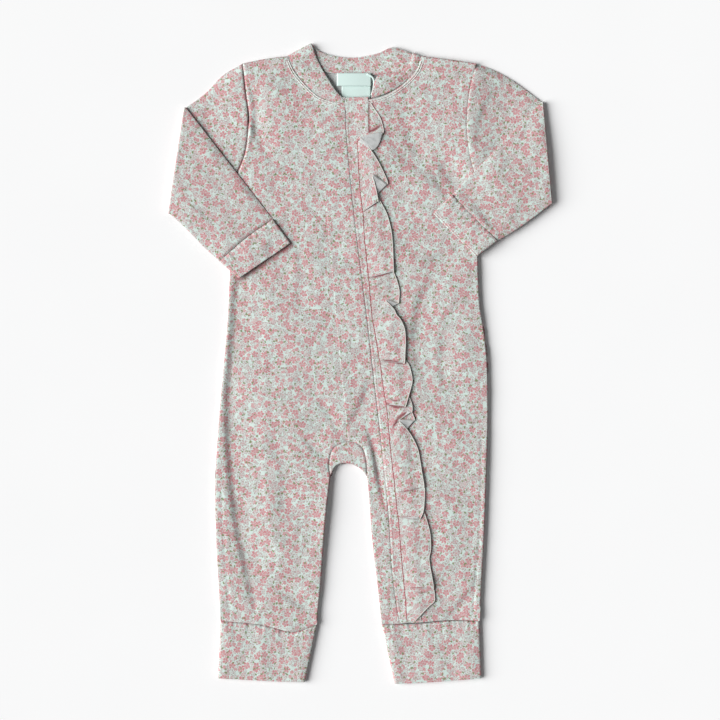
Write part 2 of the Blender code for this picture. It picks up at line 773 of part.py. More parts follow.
def main():
    clear_scene()
    collection = bpy.data.collections.new(COLLECTION)
    bpy.context.scene.collection.children.link(collection)
    make_back()
    make_right_front()
    make_left_front()
    make_gusset()
    make_placket()
    make_zip_tape()
    make_ruffle()
    make_neckband()
    make_label("neck_label", NECK_LABEL)
    make_label("size_label", SIZE_LABEL)
    make_sleeve("right_sleeve", RIGHT_SLEEVE, ARMHOLE_LINES["right"])
    make_sleeve("left_sleeve", LEFT_SLEEVE, ARMHOLE_LINES["left"])
    make_sleeve_cuff("right_sleeve_cuff", RIGHT_SLEEVE)
    make_sleeve_cuff("left_sleeve_cuff", LEFT_SLEEVE)
    make_leg_cuff("right_leg_cuff", RIGHT_LEG_CUFF)
    make_leg_cuff("left_leg_cuff", LEFT_LEG_CUFF)


main()
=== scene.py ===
# %% [markdown]
# # A footless baby coverall, laid flat
#
# The suit is sewn from thin cotton knit. In this lesson each cut piece becomes one thin shell:
# a surface worked out with numpy, given its thickness by Solidify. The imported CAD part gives
# the size and the place of every piece, and the shells here stand for its plainer solids.
# Lengths are in millimetres until a mesh is made, because a pattern cutter thinks in them.

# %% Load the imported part
import math
from collections import namedtuple

import bmesh
import bpy
import numpy as np
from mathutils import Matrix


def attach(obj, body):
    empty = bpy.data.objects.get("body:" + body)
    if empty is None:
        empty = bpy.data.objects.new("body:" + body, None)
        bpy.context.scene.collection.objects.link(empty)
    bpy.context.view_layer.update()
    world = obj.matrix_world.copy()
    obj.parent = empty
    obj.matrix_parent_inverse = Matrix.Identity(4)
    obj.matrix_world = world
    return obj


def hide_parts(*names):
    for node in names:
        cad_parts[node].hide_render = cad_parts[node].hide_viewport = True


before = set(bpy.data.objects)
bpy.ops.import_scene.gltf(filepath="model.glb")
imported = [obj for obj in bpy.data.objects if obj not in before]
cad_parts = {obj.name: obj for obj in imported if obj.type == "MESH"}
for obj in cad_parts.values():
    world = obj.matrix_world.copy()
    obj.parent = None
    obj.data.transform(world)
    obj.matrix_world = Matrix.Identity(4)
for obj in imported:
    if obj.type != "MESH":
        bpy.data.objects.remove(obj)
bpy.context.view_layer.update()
print("CAD nodes:", ", ".join(sorted(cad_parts)))

# %% Units and the layout
MM = 0.001
LAYOUT_CENTRE = (1.3, 2.25)  # middle of the laid-out suit in the tables, which becomes the origin

KNIT = 0.7  # one layer of cotton knit
BAND = 1.5  # the same knit doubled, in the bands and cuffs
RIBBON = 0.35  # the labels' ribbon

# %% [markdown]
# ## Lines
#
# A seam is a smooth line through a few measured points. It could be a Bezier curve object, but
# the same line is needed by the two pieces that meet at it, so it is kept as an array of points.

# %% Smooth lines
def smooth(points, count=200):
    """Catmull-Rom curve through the points, at even steps of its length.

    Between b and c, with neighbours a and d, at a share u:
    (2b + (c - a)u + (2a - 5b + 4c - d)u^2 + (3b - a - 3c + d)u^3) / 2.
    """
    knots = np.array(points, float)
    ends = 2 * knots[[0, -1]] - knots[[1, -2]]
    knots = np.vstack([ends[:1], knots, ends[1:]])
    u = np.linspace(0, 1, 16, endpoint=False)[:, None, None]
    a, b, c, d = (knots[i : len(knots) - 3 + i] for i in range(4))
    spans = 0.5 * (2 * b + (c - a) * u + (2 * a - 5 * b + 4 * c - d) * u**2 + (3 * b - a - 3 * c + d) * u**3)
    fine = np.vstack([spans.transpose(1, 0, 2).reshape(-1, knots.shape[1]), knots[-2:-1]])
    return along(fine, np.linspace(0, 1, count))


def steps_of(line):
    """Length of each step between neighbouring points of a line."""
    return np.linalg.norm(np.diff(line, axis=0), axis=1)


def along(line, shares):
    """Points of a line at shares of its length."""
    length = np.append(0, np.cumsum(steps_of(line)))
    places = np.asarray(shares) * length[-1]
    return np.stack([np.interp(places, length, column) for column in line.T], axis=-1)


def joined(*lines):
    """One line from lines that follow each other head to tail."""
    return np.vstack([line[:-1] for line in lines[:-1]] + [lines[-1]])


def beside(line, distance):
    """The line moved sideways, towards the wearer's left of a line that runs down the suit."""
    way = np.gradient(line[:, :2], axis=0)
    way /= np.linalg.norm(way, axis=1)[:, None]
    return line[:, :2] + distance * np.stack([-way[:, 1], way[:, 0]], axis=1)


def nearest(points, line):
    """For each point: distance to the line, its sign for the side, and the share of the line there."""
    start, step = line[:-1], np.diff(line, axis=0)
    offset = points[:, None] - start
    share = np.clip((offset * step).sum(-1) / (step * step).sum(-1), 0, 1)
    gap = offset - share[..., None] * step
    apart = np.linalg.norm(gap, axis=-1)
    best = apart.argmin(axis=1)
    row = np.arange(len(points))
    side = np.sign(step[best, 0] * gap[row, best, 1] - step[best, 1] * gap[row, best, 0])
    return apart[row, best], side, (best + share[row, best]) / len(step)


# %% [markdown]
# ## The seam lines of the body
#
# These tables repeat the part's own seams, read from the photograph at 0.88 mm a pixel. Each row
# is a level of the suit, with the wearer's right and left.

# %% Seam tables
Pair = namedtuple("Pair", "level right left")

SHOULDERS = (Pair(272.5, -62.0, 54.5), Pair(270.0, -82.0, 76.0), Pair(266.0, -102.5, 103.0))
ARMHOLES = (
    Pair(266.0, -102.5, 103.0),
    Pair(244.0, -100.0, 97.5),
    Pair(222.0, -97.3, 95.0),
    Pair(204.0, -97.7, 95.0),
    Pair(186.0, -100.5, 97.2),
    Pair(172.0, -106.0, 100.8),
    Pair(160.0, -112.0, 104.0),
)
SIDES = (
    Pair(160.0, -112.0, 104.0),
    Pair(110.0, -112.7, 104.4),
    Pair(58.0, -114.5, 106.0),
    Pair(30.0, -116.2, 110.0),
    Pair(0.0, -119.0, 113.0),
    Pair(-47.0, -123.0, 113.5),
    Pair(-100.0, -126.2, 112.0),
    Pair(-153.0, -125.5, 110.0),
    Pair(-224.0, -121.5, 106.0),
)
INNER_LEGS = (
    Pair(-97.0, -25.0, 7.2),
    Pair(-122.0, -28.0, 9.3),
    Pair(-153.0, -30.7, 11.6),
    Pair(-190.0, -33.3, 16.0),
    Pair(-227.0, -37.0, 20.0),
)


def side_of(table, side):
    """One column of a table of levels as a smooth line, from the neck down."""
    return smooth([(getattr(row, side), row.level) for row in table])


SHOULDER = {side: side_of(SHOULDERS, side) for side in ("right", "left")}
ARMHOLE = {side: side_of(ARMHOLES, side) for side in ("right", "left")}
SIDE = {side: side_of(SIDES, side) for side in ("right", "left")}
INNER_LEG = {side: side_of(INNER_LEGS, side) for side in ("right", "left")}

PLACKET_SEAM = smooth([
    (-11.7, 236), (-11, 201), (-4, 129), (5, 58), (12.5, -5),
    (20.3, -73), (26.5, -135), (29.3, -182), (35.5, -226.5),
])
BACK_NECK = smooth([
    (-62, 272.5), (-49, 262.5), (-29, 257.6), (-3, 256.5), (28, 258), (46, 263.5), (54.5, 272.5),
])
RIGHT_NECK = smooth([(-62, 272.5), (-55, 257.8), (-38, 239.5), (-25, 233.5), (-11.7, 231)])
LEFT_NECK = smooth([(-3.7, 232.5), (20, 236.8), (37, 246.5), (49.5, 259.3), (54.5, 272.5)])
GUSSET_SEAM = smooth([
    (-25, -97), (-26.3, -86), (-22.5, -72.5), (-9.5, -66.5), (2, -70.5), (6.3, -82.5), (7.2, -97),
])
CROTCH_FOLD = smooth([(-25, -97), (-19.5, -87.5), (-9, -85.8), (1, -90), (7.2, -97)])
RIGHT_HEM = smooth([(-121.5, -224), (-86, -227.5), (-58, -233.5), (-37, -227)])
LEFT_HEM = smooth([(20, -227), (48, -226.5), (80, -223.8), (106, -224)])
print("placket seam is", round(float(steps_of(PLACKET_SEAM).sum())), "mm long")

# %% [markdown]
# ## How high the cloth lies
#
# Cloth laid flat isn't flat. It rolls over at its folded sides, it is a little full in the
# middle, it dips into every seam, and it keeps the troughs of the last wearing. A sculpt brush
# could do this, but a height worked out from the distance to a line stays the same each run, and
# every layer that lies on the front can ask for it. The creases are given one by one, because real
# ones run from where the cloth is held: an armhole, the crotch, a cuff.

# %% Rolls, ditches and creases
ROLL = 2.2  # half the height of the cloth's roll where it folds over at a side
ROLL_REACH = 1.1  # how far in from the folded side that roll goes
FRONT_RISE = 0.9  # how far the middle rises above the folded sides
FRONT_LIMIT = 4.05  # above this the front flattens where a forearm lies on it
FOREARMS = (  # fold corner, inner and outer corner of the cuff's end, and a point inside
    np.array([(-154.0, 228.0), (-60.0, 108.0), (-105.5, 77.0), (-115.0, 140.0)]),
    np.array([(163.0, 229.0), (65.5, 133.5), (101.5, 97.5), (110.0, 150.0)]),
)
FREE_OF_ARM = 1.3  # how far from a forearm's edge the front has its full height again
RELIEF = 1.3  # scale of all the creases
STEEP, GENTLE = 0.5, 1.5  # a crease's two flanks, as shares of its width, unless it says otherwise
RISE_REACH = 28.0  # how far in from the sides that rise goes
LEG_STAND = 2.2  # how much higher the right leg's inner edge stands, half way down
LEG_STAND_LEVEL, LEG_STAND_SPAN, LEG_STAND_REACH = -128, 38, 10  # where that is, down and across the leg
PRESSED = 0.45  # how far the front still rises over its limit under a forearm
SIDE_SEAM_DITCH, SIDE_SEAM_WIDTH = 0.55, 0.8
SIDE_SEAM_STEP = 0.25  # how much the seam allowance lifts the front beside a side seam

Crease = namedtuple("Crease", "width depth points gentle", defaults=(GENTLE,))
FRONT_CREASES = (
    Crease(
        6.5, 1.6,
        (
            (-104, 118), (-106, 80), (-110, 30), (-114, -30),
            (-113, -80), (-107, -135), (-98, -180), (-88, -222),
        ),
        3.2,
    ),
    Crease(5.0, 0.7, ((-101, 252), (-92, 236), (-91, 210), (-96, 186))),
    Crease(6.0, 0.7, ((-97, 232), (-90, 205), (-76, 176))),
    Crease(6.0, 0.8, ((-74, -194), (-58, -206), (-42, -214))),
    Crease(5.0, 0.5, ((-96, -232), (-92, -214), (-93, -196))),
    Crease(5.0, 1.5, ((8, -58), (12.5, -71), (15.5, -86), (21, -118))),
    Crease(7.0, 0.8, ((11, -8), (4, -32), (-8, -52), (-18, -64))),
    Crease(6.0, 0.6, ((-36, -28), (-24, -46), (-15, -62))),
    Crease(5.0, 0.6, ((-50, -60), (-38, -74), (-28, -82))),
    Crease(10.0, 0.9, ((23, 208), (38, 188), (60, 170), (84, 150))),
    Crease(8.0, 1.0, ((68, 186), (84, 160), (100, 142))),
    Crease(9.0, 1.0, ((64, 78), (54, 50), (50, 20), (55, -8))),
    Crease(8.0, 0.7, ((82, 44), (74, 12), (76, -22))),
    Crease(7.0, 0.6, ((92, 100), (72, 96), (56, 88))),
    Crease(5.5, 0.8, ((104, -192), (92, -206), (80, -221))),
    Crease(7.0, 0.5, ((60, -120), (66, -150), (62, -180))),
    Crease(7.0, 0.5, ((-60, 120), (-50, 90), (-54, 50))),
    Crease(8.0, 0.5, ((-74, -60), (-66, -100), (-70, -140))),
    Crease(14.0, 1.1, ((42, 226), (48, 200), (60, 176)), 2.5),
)

FOLD_EDGES = [SHOULDER["right"], SHOULDER["left"], SIDE["right"], SIDE["left"]]
FOLD_EDGES += [INNER_LEG["right"], INNER_LEG["left"], CROTCH_FOLD]
SIDE_SEAMS = (
    smooth([(-120.5, -110), (-119.5, -136), (-117, -170), (-114.5, -202), (-112.5, -224)]),
    smooth([(108, -64), (107.4, -118), (106, -152), (103.5, -180), (101.6, -201), (100.3, -223)]),
)
SEAM_DITCHES = (  # seam, depth and half width of its ditch
    (ARMHOLE["right"], 1.4, 1.0),
    (ARMHOLE["left"], 0.3, 0.8),
    (RIGHT_HEM, 0.6, 0.8),
    (LEFT_HEM, 0.6, 0.8),
    (RIGHT_NECK, 0.35, 0.8),
    (LEFT_NECK, 0.35, 0.8),
    (GUSSET_SEAM, 0.7, 0.9),
)
PAINTED_SHADE_LINES = (  # painted shade along lines: the long trough down the right side, a crease below the crotch and the shadow beyond the right cuff's end; how much, and the half width
    (smooth(FRONT_CREASES[0].points), 0.2, 1.8),
    (smooth([(8, -60), (12.3, -72), (15, -86), (21, -118)]), 0.35, 1.2),
    (smooth([(-59, 107), (-82, 91), (-106, 75)]), 0.75, 2.3),
)
OUTLINE_PAINTED_SHADE, OUTLINE_WIDTH = 0.55, 0.8  # painted shade at the folded sides, and its half width
DITCH_PAINTED_SHADE, DITCH_WIDTH = 0.42, 0.6  # painted shade in a seam's ditch, as shares of its depth and half width


def rounded(distance, radius):
    """0 at the edge of a roll and 1 from its radius on: sqrt(1 - (1 - d / r)^2)."""
    left = 1 - np.clip(distance / radius, 0, 1)
    return np.sqrt(1 - left**2)


def edge_distance(xy):
    """Distance from each point to the nearest folded edge of the body."""
    return np.min([nearest(xy, edge[::8])[0] for edge in FOLD_EDGES], axis=0)


def creased(xy, creases):
    """Sum of troughs -depth exp(-(s/w)^2), steep on the wearer's right and gentle on the left."""
    height = np.zeros(len(xy))
    for crease in creases:
        apart, side, share = nearest(xy, smooth(crease.points, 24))
        across = apart / (crease.width * np.where(side > 0, crease.gentle, STEEP))
        fade = np.sin(np.pi * np.clip(share, 0.02, 0.98)) ** 0.5
        fade *= np.exp(-np.maximum(apart - 4 * crease.width, 0))
        height -= crease.depth * fade * np.exp(-(across**2))
    return height


def rumple(xy, seed, size=(7.0, 60.0), amount=0.007, waves=26):
    """Uneven soft waves: a sum of sines of many lengths and ways, each as high as it is long."""
    rng = np.random.default_rng(seed)
    length = size[0] * (size[1] / size[0]) ** rng.random(waves)
    way = rng.random(waves) * 2 * np.pi
    ways = 2 * np.pi / length * np.array([np.cos(way), np.sin(way)])
    start = rng.random(waves) * 2 * np.pi
    return (amount * length * np.sin(xy @ ways + start)).sum(axis=1) / math.sqrt(waves) * 2


def painted_shade_at(xy):
    """Painted shade at the folded sides, in the seams' ditches and along the shaded lines, 0 to 1: amounts
    times exp(-(d/w)^2).
    """
    share = OUTLINE_PAINTED_SHADE * np.exp(-((edge_distance(xy) / OUTLINE_WIDTH) ** 2))
    for seam, ditch, width in SEAM_DITCHES:
        share += DITCH_PAINTED_SHADE * ditch * np.exp(-((nearest(xy, seam[::5])[0] / (DITCH_WIDTH * width)) ** 2))
    for line, amount, width in PAINTED_SHADE_LINES:
        share += amount * np.exp(-((nearest(xy, line[::10])[0] / width) ** 2))
    return share


def off_forearms(xy):
    """Distance beyond a forearm's two lines on the front, from the fold and along the cuff's end."""
    gaps = []
    for fold, inner, outer, inside in FOREARMS:
        sides = []
        for start, stop in ((fold, inner), (inner, outer)):
            way = (stop - start) / np.linalg.norm(stop - start)
            across = np.array([-way[1], way[0]])
            across *= -np.sign((inside - start) @ across)
            sides.append((xy - start) @ across)
        gaps.append(np.maximum(*sides))
    return np.minimum(*gaps)


def front_top(xy):
    """Height of the front's outer face above the surface that the suit lies on.

    The roll at the sides, the rise inwards and the creases are added up. The seams' ditches are taken
    off, and under a forearm what is over the limit is pressed to p (1 - exp(-over / p)).
    """
    depth = edge_distance(xy)
    height = ROLL + ROLL * rounded(depth, ROLL_REACH) + FRONT_RISE * (1 - np.exp(-depth / RISE_REACH))
    stand = np.exp(-(((xy[:, 1] - LEG_STAND_LEVEL) / LEG_STAND_SPAN) ** 2))
    stand = stand * np.exp(-nearest(xy, INNER_LEG["right"][::8])[0] / LEG_STAND_REACH)
    height += LEG_STAND * stand * rounded(depth, ROLL_REACH)
    flat = rounded(depth, 8.0)
    height += flat * (RELIEF * creased(xy, FRONT_CREASES) + rumple(xy, 3))
    for seam, ditch, width in SEAM_DITCHES:
        apart = nearest(xy, seam[::5])[0]
        height -= ditch * np.exp(-((apart / width) ** 2)) * np.minimum(1, height / 3)
    for seam in SIDE_SEAMS:
        apart, side, share = nearest(xy, seam[::8])
        height -= SIDE_SEAM_DITCH * np.exp(-((apart / SIDE_SEAM_WIDTH) ** 2))
        height += SIDE_SEAM_STEP * (side > 0) * np.exp(-apart / 4.0)
    over = np.maximum(height - FRONT_LIMIT, 0)
    pressed = height - over + PRESSED * (1 - np.exp(-over / PRESSED))
    share = np.clip(off_forearms(xy) / FREE_OF_ARM, 0, 1)
    return pressed + share * (height - pressed)


def back_low(xy):
    """Height of the back's outer face: on the surface, rolled up at the folded edges."""
    return ROLL * (1 - rounded(edge_distance(xy), ROLL_REACH))


print("front is", np.round(front_top(np.array([[-60.0, 100.0], [60.0, -150.0]])), 2), "mm high in two places")

# %% [markdown]
# ## Surfaces
#
# Every piece is a grid of points: rows of a line carried across the cloth. Between four edge
# lines the grid is a Coons patch, which is what a draper does by eye: the opposite edges are
# blended both ways and the corners are taken off once. The alternative, a cloth simulation of
# the sewn suit, would lose the exact places of the folds that the photograph shows.

# %% Patches between four lines
def with_rolls(count, length):
    """Even shares of a length, with extra ones at both ends that lie evenly round the roll there."""
    turn = np.radians(np.arange(0, 90, 15))
    edge = ROLL * (1 - np.cos(turn)) / length
    middle = np.linspace(ROLL / length, 1 - ROLL / length, count)
    return np.concatenate([edge, middle, 1 - edge[::-1]])


def coons(left, right, top, bottom, rows, columns):
    """Coons patch: the blend of left and right plus that of top and bottom, less the corners' blend.

    Rows are shares from the top down and columns shares from left to right.
    """
    v, u = rows[:, None, None], columns[None, :, None]
    sides = (1 - u) * along(left, rows)[:, None] + u * along(right, rows)[:, None]
    ends = (1 - v) * along(top, columns)[None] + v * along(bottom, columns)[None]
    upper = (1 - u) * top[0] + u * top[-1]
    lower = (1 - u) * bottom[0] + u * bottom[-1]
    return sides + ends - (1 - v) * upper - v * lower


def raised(plan, height):
    """A flat grid lifted to the height that a function gives for its points."""
    points = plan.reshape(-1, 2)
    return np.dstack([plan, height(points).reshape(plan.shape[:2])])


# %% [markdown]
# ## From a grid to a piece of cloth
#
# The grid goes into a mesh with foreach_set. Its UV map holds the cloth's own flat coordinates in
# millimetres, so the print follows each piece as if it had been cut from one bolt. Solidify then
# gives the cloth its thickness on the inner side and takes the next material for it, which is the
# unprinted reverse. A float attribute of the mesh holds painted shade: it darkens and reddens the
# cloth in seams and pleats, at folded sides and in cast shadows, more than the light alone makes it.

# %% Mesh maker
# the last field is painted shade at each point, 0 to 1, where a grid has any
Grid = namedtuple("Grid", "points cloth ring flip tuck", defaults=(False, False, None))


def grid_faces(rows, columns, ring):
    """Corner numbers of the quads between neighbouring rows and columns, closed round if a ring."""
    number = np.arange(rows * columns).reshape(rows, columns)
    if ring:
        number = np.hstack([number, number[:, :1]])
    corners = (number[:-1, :-1], number[1:, :-1], number[1:, 1:], number[:-1, 1:])
    return np.stack(corners, axis=-1).reshape(-1, 4)


def mesh_of(name, vertices, faces, cloth):
    """A mesh from arrays, in metres, with the cloth's flat place of each corner as its UV map."""
    mesh = bpy.data.meshes.new(name)
    mesh.vertices.add(len(vertices))
    mesh.vertices.foreach_set("co", (vertices * MM).ravel())
    mesh.loops.add(faces.size)
    mesh.loops.foreach_set("vertex_index", faces.ravel())
    mesh.polygons.add(len(faces))
    mesh.polygons.foreach_set("loop_start", np.arange(len(faces)) * faces.shape[1])
    mesh.update(calc_edges=True)
    uv = mesh.uv_layers.new(name="cloth")
    uv.data.foreach_set("uv", cloth.ravel())
    mesh.validate()
    return mesh


def piece(name, grids, materials, thickness=0.0, weld=True):
    """A cloth piece from one or more grids that share their seams."""
    vertices, faces, cloth, painted_shades, start = [], [], [], [], 0
    for grid in grids:
        points = np.array(grid.points, float)
        painted_shades.append(np.zeros(points.shape[0] * points.shape[1]) if grid.tuck is None else grid.tuck.ravel())
        rows, columns = points.shape[:2]
        corners = grid_faces(rows, columns, grid.ring)
        flat = grid.cloth.reshape(-1, 2)[corners]
        if grid.flip:
            corners, flat = corners[:, ::-1], flat[:, ::-1]
        vertices.append(points.reshape(-1, 3))
        faces.append(corners + start)
        cloth.append(flat.reshape(-1, 2))
        start += rows * columns
    vertices = np.vstack(vertices) - [*LAYOUT_CENTRE, 0]
    mesh = mesh_of(name, vertices, np.vstack(faces), np.vstack(cloth))
    # the painted shade goes into a float attribute that the printed materials read
    mesh.attributes.new("tuck", "FLOAT", "POINT").data.foreach_set("value", np.concatenate(painted_shades))
    if weld:
        shell = bmesh.new()
        shell.from_mesh(mesh)
        bmesh.ops.remove_doubles(shell, verts=shell.verts, dist=0.01 * MM)
        shell.to_mesh(mesh)
        shell.free()
    mesh.polygons.foreach_set("use_smooth", np.ones(len(mesh.polygons), bool))
    for material in materials:
        mesh.materials.append(material)
    made = bpy.data.objects.new(name, mesh)
    bpy.context.scene.collection.objects.link(made)
    if thickness:
        wall = made.modifiers.new("wall", "SOLIDIFY")
        wall.thickness = thickness * MM
        wall.offset = -1
        wall.material_offset = len(materials) - 1
        wall.use_rim = True
    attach(made, "root")
    print(name, "has", len(mesh.polygons), "faces")
    return made


def cut_size(grids):
    """Width, length and area of the flat cut, in metres, from the lengths along and across the grids."""
    area = width = length = 0.0
    for grid in grids:
        points = np.array(grid.points, float)
        if grid.ring:
            points = np.concatenate([points, points[:, :1]], axis=1)
        across = np.linalg.norm(np.diff(points, axis=1), axis=2)
        down = np.linalg.norm(np.diff(points, axis=0), axis=2)
        area += (0.25 * (across[1:] + across[:-1]) * (down[:, 1:] + down[:, :-1])).sum()
        width += across.sum(axis=1).max()
        length = max(length, down.sum(axis=0).max())
    return width * MM, length * MM, area * MM**2


def laid_sheet(made, grids):
    """Prints the width, length and area that a piece was cut to."""
    width, length, area = cut_size(grids)
    flat = (round(width, 4), round(length, 4))
    area = min(area, flat[0] * flat[1])
    print(f"{made.name} is cut {width * 1000:.0f} x {length * 1000:.0f} mm, {area * 1e4:.0f} square cm")


# %% [markdown]
# ## Shader helpers
#
# A material is a graph of nodes. Wiring each node by hand takes a page, so one helper adds a node
# and joins its inputs, and a second one does arithmetic. Both only save typing.

# %% Nodes
class Graph:
    """A material's node graph, with short ways to add nodes."""

    def __init__(self, name):
        """Starts a material that has only its shader."""
        self.material = bpy.data.materials.new(name)
        self.material.use_nodes = True
        self.nodes = self.material.node_tree.nodes
        self.links = self.material.node_tree.links
        self.shader = self.nodes["Principled BSDF"]

    def join(self, source, socket):
        """Links a socket to another one, or sets its value."""
        if isinstance(source, bpy.types.NodeSocket):
            self.links.new(source, socket)
        else:
            socket.default_value = source

    def add(self, kind, inputs=(), **settings):
        """A new node, with its settings and its inputs by name."""
        node = self.nodes.new(kind)
        for key, value in settings.items():
            setattr(node, key, value)
        for key, value in dict(inputs).items():
            self.join(value, node.inputs[key])
        return node

    def math(self, operation, first, second=0.0, third=0.0):
        """Arithmetic with up to three numbers."""
        node = self.add("ShaderNodeMath", operation=operation)
        for value, socket in zip((first, second, third), node.inputs):
            self.join(value, socket)
        return node.outputs[0]

    def vector(self, operation, first, second=(0, 0, 0)):
        """Arithmetic with two vectors, or with a vector and a scale."""
        node = self.add("ShaderNodeVectorMath", operation=operation)
        self.join(first, node.inputs[0])
        self.join(second, node.inputs["Scale" if operation == "SCALE" else 1])
        return node.outputs["Value" if operation in ("LENGTH", "DOT_PRODUCT") else "Vector"]

    def step(self, value, low, high):
        """0 below low, 1 above high and a smooth rise between; turned round where low is higher."""
        node = self.add("ShaderNodeMapRange", interpolation_type="SMOOTHSTEP")
        for key, number in (("Value", value), ("From Min", min(low, high)), ("From Max", max(low, high))):
            self.join(number, node.inputs[key])
        node.inputs["To Min"].default_value = float(low > high)
        node.inputs["To Max"].default_value = float(low <= high)
        return node.outputs["Result"]

    def mix(self, share, under, over):
        """One colour laid over another by a share."""
        node = self.add("ShaderNodeMix", data_type="RGBA")
        self.join(share, node.inputs[0])
        self.join(under, node.inputs[6])
        self.join(over, node.inputs[7])
        return node.outputs[2]

    def noise(self, place, size, detail=2.0):
        """Noise with lumps of about that many millimetres."""
        inputs = {"Vector": place, "Scale": 1 / size, "Detail": detail}
        return self.add("ShaderNodeTexNoise", inputs, noise_dimensions="2D").outputs

    def cells(self, place, size, loose=1.0, feature="F1"):
        """Voronoi cells of about that many millimetres, one motif in each."""
        inputs = {"Vector": place, "Scale": 1 / size, "Randomness": loose}
        return self.add("ShaderNodeTexVoronoi", inputs, voronoi_dimensions="2D", feature=feature).outputs


def colour(red, green, blue):
    """An sRGB colour of 0 to 255, as it looks, in the linear values that a shader takes."""
    seen = np.array([red, green, blue]) / 255
    return (*np.where(seen <= 0.04045, seen / 12.92, ((seen + 0.055) / 1.055) ** 2.4), 1.0)


# %% [markdown]
# ## The printed knit
#
# The suit is cut from cotton interlock with an all-over ditsy print: small blossoms, outlined
# flowers, buds and leaves, so dense that the mint ground hardly shows. An image texture would
# need artwork, so the print is grown from Voronoi cells instead. Each cell holds one generic
# motif, turned by the cell's random colour, and a wavering of the coordinates makes it look drawn.

# %% Motifs
def motif(graph, place, size, loose=0.9):
    """Offset from the middle of the nearest cell, turned at random, and the cell's random numbers."""
    cell = graph.cells(place, size, loose)
    lucky = graph.add("ShaderNodeSeparateColor", {"Color": cell["Color"]}).outputs
    offset = graph.vector("SUBTRACT", place, cell["Position"])
    turn = graph.math("MULTIPLY", lucky["Red"], 2 * math.pi)
    inputs = {"Vector": offset, "Angle": turn}
    turned = graph.add("ShaderNodeVectorRotate", inputs, rotation_type="Z_AXIS").outputs["Vector"]
    return turned, lucky


def petals(graph, offset, radius):
    """Distance from the middle over the reach of five petals: r / R (0.6 + 0.4 |cos 2.5 a|)."""
    part = graph.add("ShaderNodeSeparateXYZ", {"Vector": offset}).outputs
    angle = graph.math("ARCTAN2", part["Y"], part["X"])
    lobe = graph.math("ABSOLUTE", graph.math("COSINE", graph.math("MULTIPLY", angle, 2.5)))
    reach = graph.math("MULTIPLY_ADD", lobe, 0.4 * radius, 0.6 * radius)
    return graph.math("DIVIDE", graph.vector("LENGTH", offset), reach), lobe


# %% The print, layer over layer
GROUND = colour(208, 226, 219)
BLOSSOM = colour(203, 146, 149)
BLOSSOM_DARK = colour(192, 122, 128)
PALE_PETAL = colour(200, 189, 187)
OUTLINE = colour(166, 118, 122)
LEAF = colour(126, 140, 98)
# the dark red that painted shade mixes into the print
PAINTED_SHADE_RED = colour(132, 70, 74)
Flower = namedtuple("Flower", "cell radius filled blank")
FLOWERS = (
    Flower(3.0, 1.35, 0.1, 0.05),
    Flower(5.6, 2.7, 0.0, 0.05),
    Flower(4.3, 1.8, 1.0, 0.62),
    Flower(7.4, 3.2, 0.85, 0.36),
)  # from the lowest layer up: millimetres of cell and radius, shares of filled blossoms and of blanks


def printed(graph, place):
    """Colour of the print at a flat place of the cloth, in millimetres."""
    loose = graph.vector("SUBTRACT", graph.noise(place, 2.2)["Color"], (0.5, 0.5, 0.5))
    drawn = graph.vector("ADD", place, graph.vector("SCALE", loose, 2.2))
    ink = GROUND
    for flower in FLOWERS:
        offset, lucky = motif(graph, drawn, flower.cell)
        reach, lobe = petals(graph, offset, flower.radius)
        blossom = graph.step(lucky["Green"], flower.filled + 0.01, flower.filled - 0.01)
        deep = graph.mix(graph.step(graph.noise(drawn, 1.4)[0], 0.5, 0.62), BLOSSOM, BLOSSOM_DARK)
        outline = graph.step(graph.math("ABSOLUTE", graph.math("SUBTRACT", reach, 0.9)), 0.2, 0.08)
        vein = graph.math("MULTIPLY", graph.step(lobe, 0.95, 0.985), 0.7)
        lines = graph.math("MAXIMUM", outline, vein)
        petal = graph.mix(lucky["Green"], GROUND, PALE_PETAL)
        pale = graph.mix(graph.math("MULTIPLY", lines, 0.8), petal, OUTLINE)
        tone = graph.mix(blossom, pale, deep)
        gaps = graph.math("MULTIPLY", graph.step(lobe, 0.32, 0.16), graph.step(reach, 0.3, 0.5))
        tone = graph.mix(graph.math("MULTIPLY", gaps, 0.85), tone, GROUND)
        tone = graph.mix(graph.step(reach, 0.26, 0.18), tone, graph.mix(blossom, BLOSSOM, PALE_PETAL))
        there = graph.step(lucky["Blue"], flower.blank, flower.blank + 0.01)
        halo = graph.math("MULTIPLY", graph.step(reach, 1.22, 1.16), there)
        ink = graph.mix(halo, ink, GROUND)
        ink = graph.mix(graph.math("MULTIPLY", graph.step(reach, 1.03, 0.97), there), ink, tone)

    offset, lucky = motif(graph, drawn, 4.6)
    leaf = graph.vector("LENGTH", graph.vector("DIVIDE", offset, (1.1, 0.6, 1.0)))
    shown = graph.math("MULTIPLY", graph.step(leaf, 1.15, 0.85), graph.step(lucky["Green"], 0.5, 0.52))
    return graph.mix(shown, ink, LEAF)


# %% [markdown]
# The knit itself is finer than a pixel of the photograph: columns of loops about 0.9 mm apart,
# with a soft fuzz. It goes into the bump, with sheen on the shader for the cotton's nap.

# %% Knit finishes
def knit_bump(graph, place, strength, wale=0.95, course=0.75):
    """Rows and columns of loops: |sin| across the wales with the courses' arcs between."""
    wavy = graph.vector("ADD", place, graph.vector("SCALE", graph.noise(place, 4.0)["Color"], 0.5))
    part = graph.add("ShaderNodeSeparateXYZ", {"Vector": wavy}).outputs
    across = graph.math("SINE", graph.math("MULTIPLY", part["X"], 2 * math.pi / wale))
    bow = graph.math("MULTIPLY", graph.math("ABSOLUTE", across), 1.1)
    down = graph.math("SINE", graph.math("MULTIPLY_ADD", part["Y"], 2 * math.pi / course, bow))
    loops = graph.math("MULTIPLY_ADD", down, 0.35, graph.math("MULTIPLY", across, 0.5))
    height = graph.math("ADD", loops, graph.math("MULTIPLY", graph.noise(place, 0.5)[0], 1.4))
    inputs = {"Height": height, "Strength": strength, "Distance": 0.00012}
    return graph.add("ShaderNodeBump", inputs).outputs["Normal"]


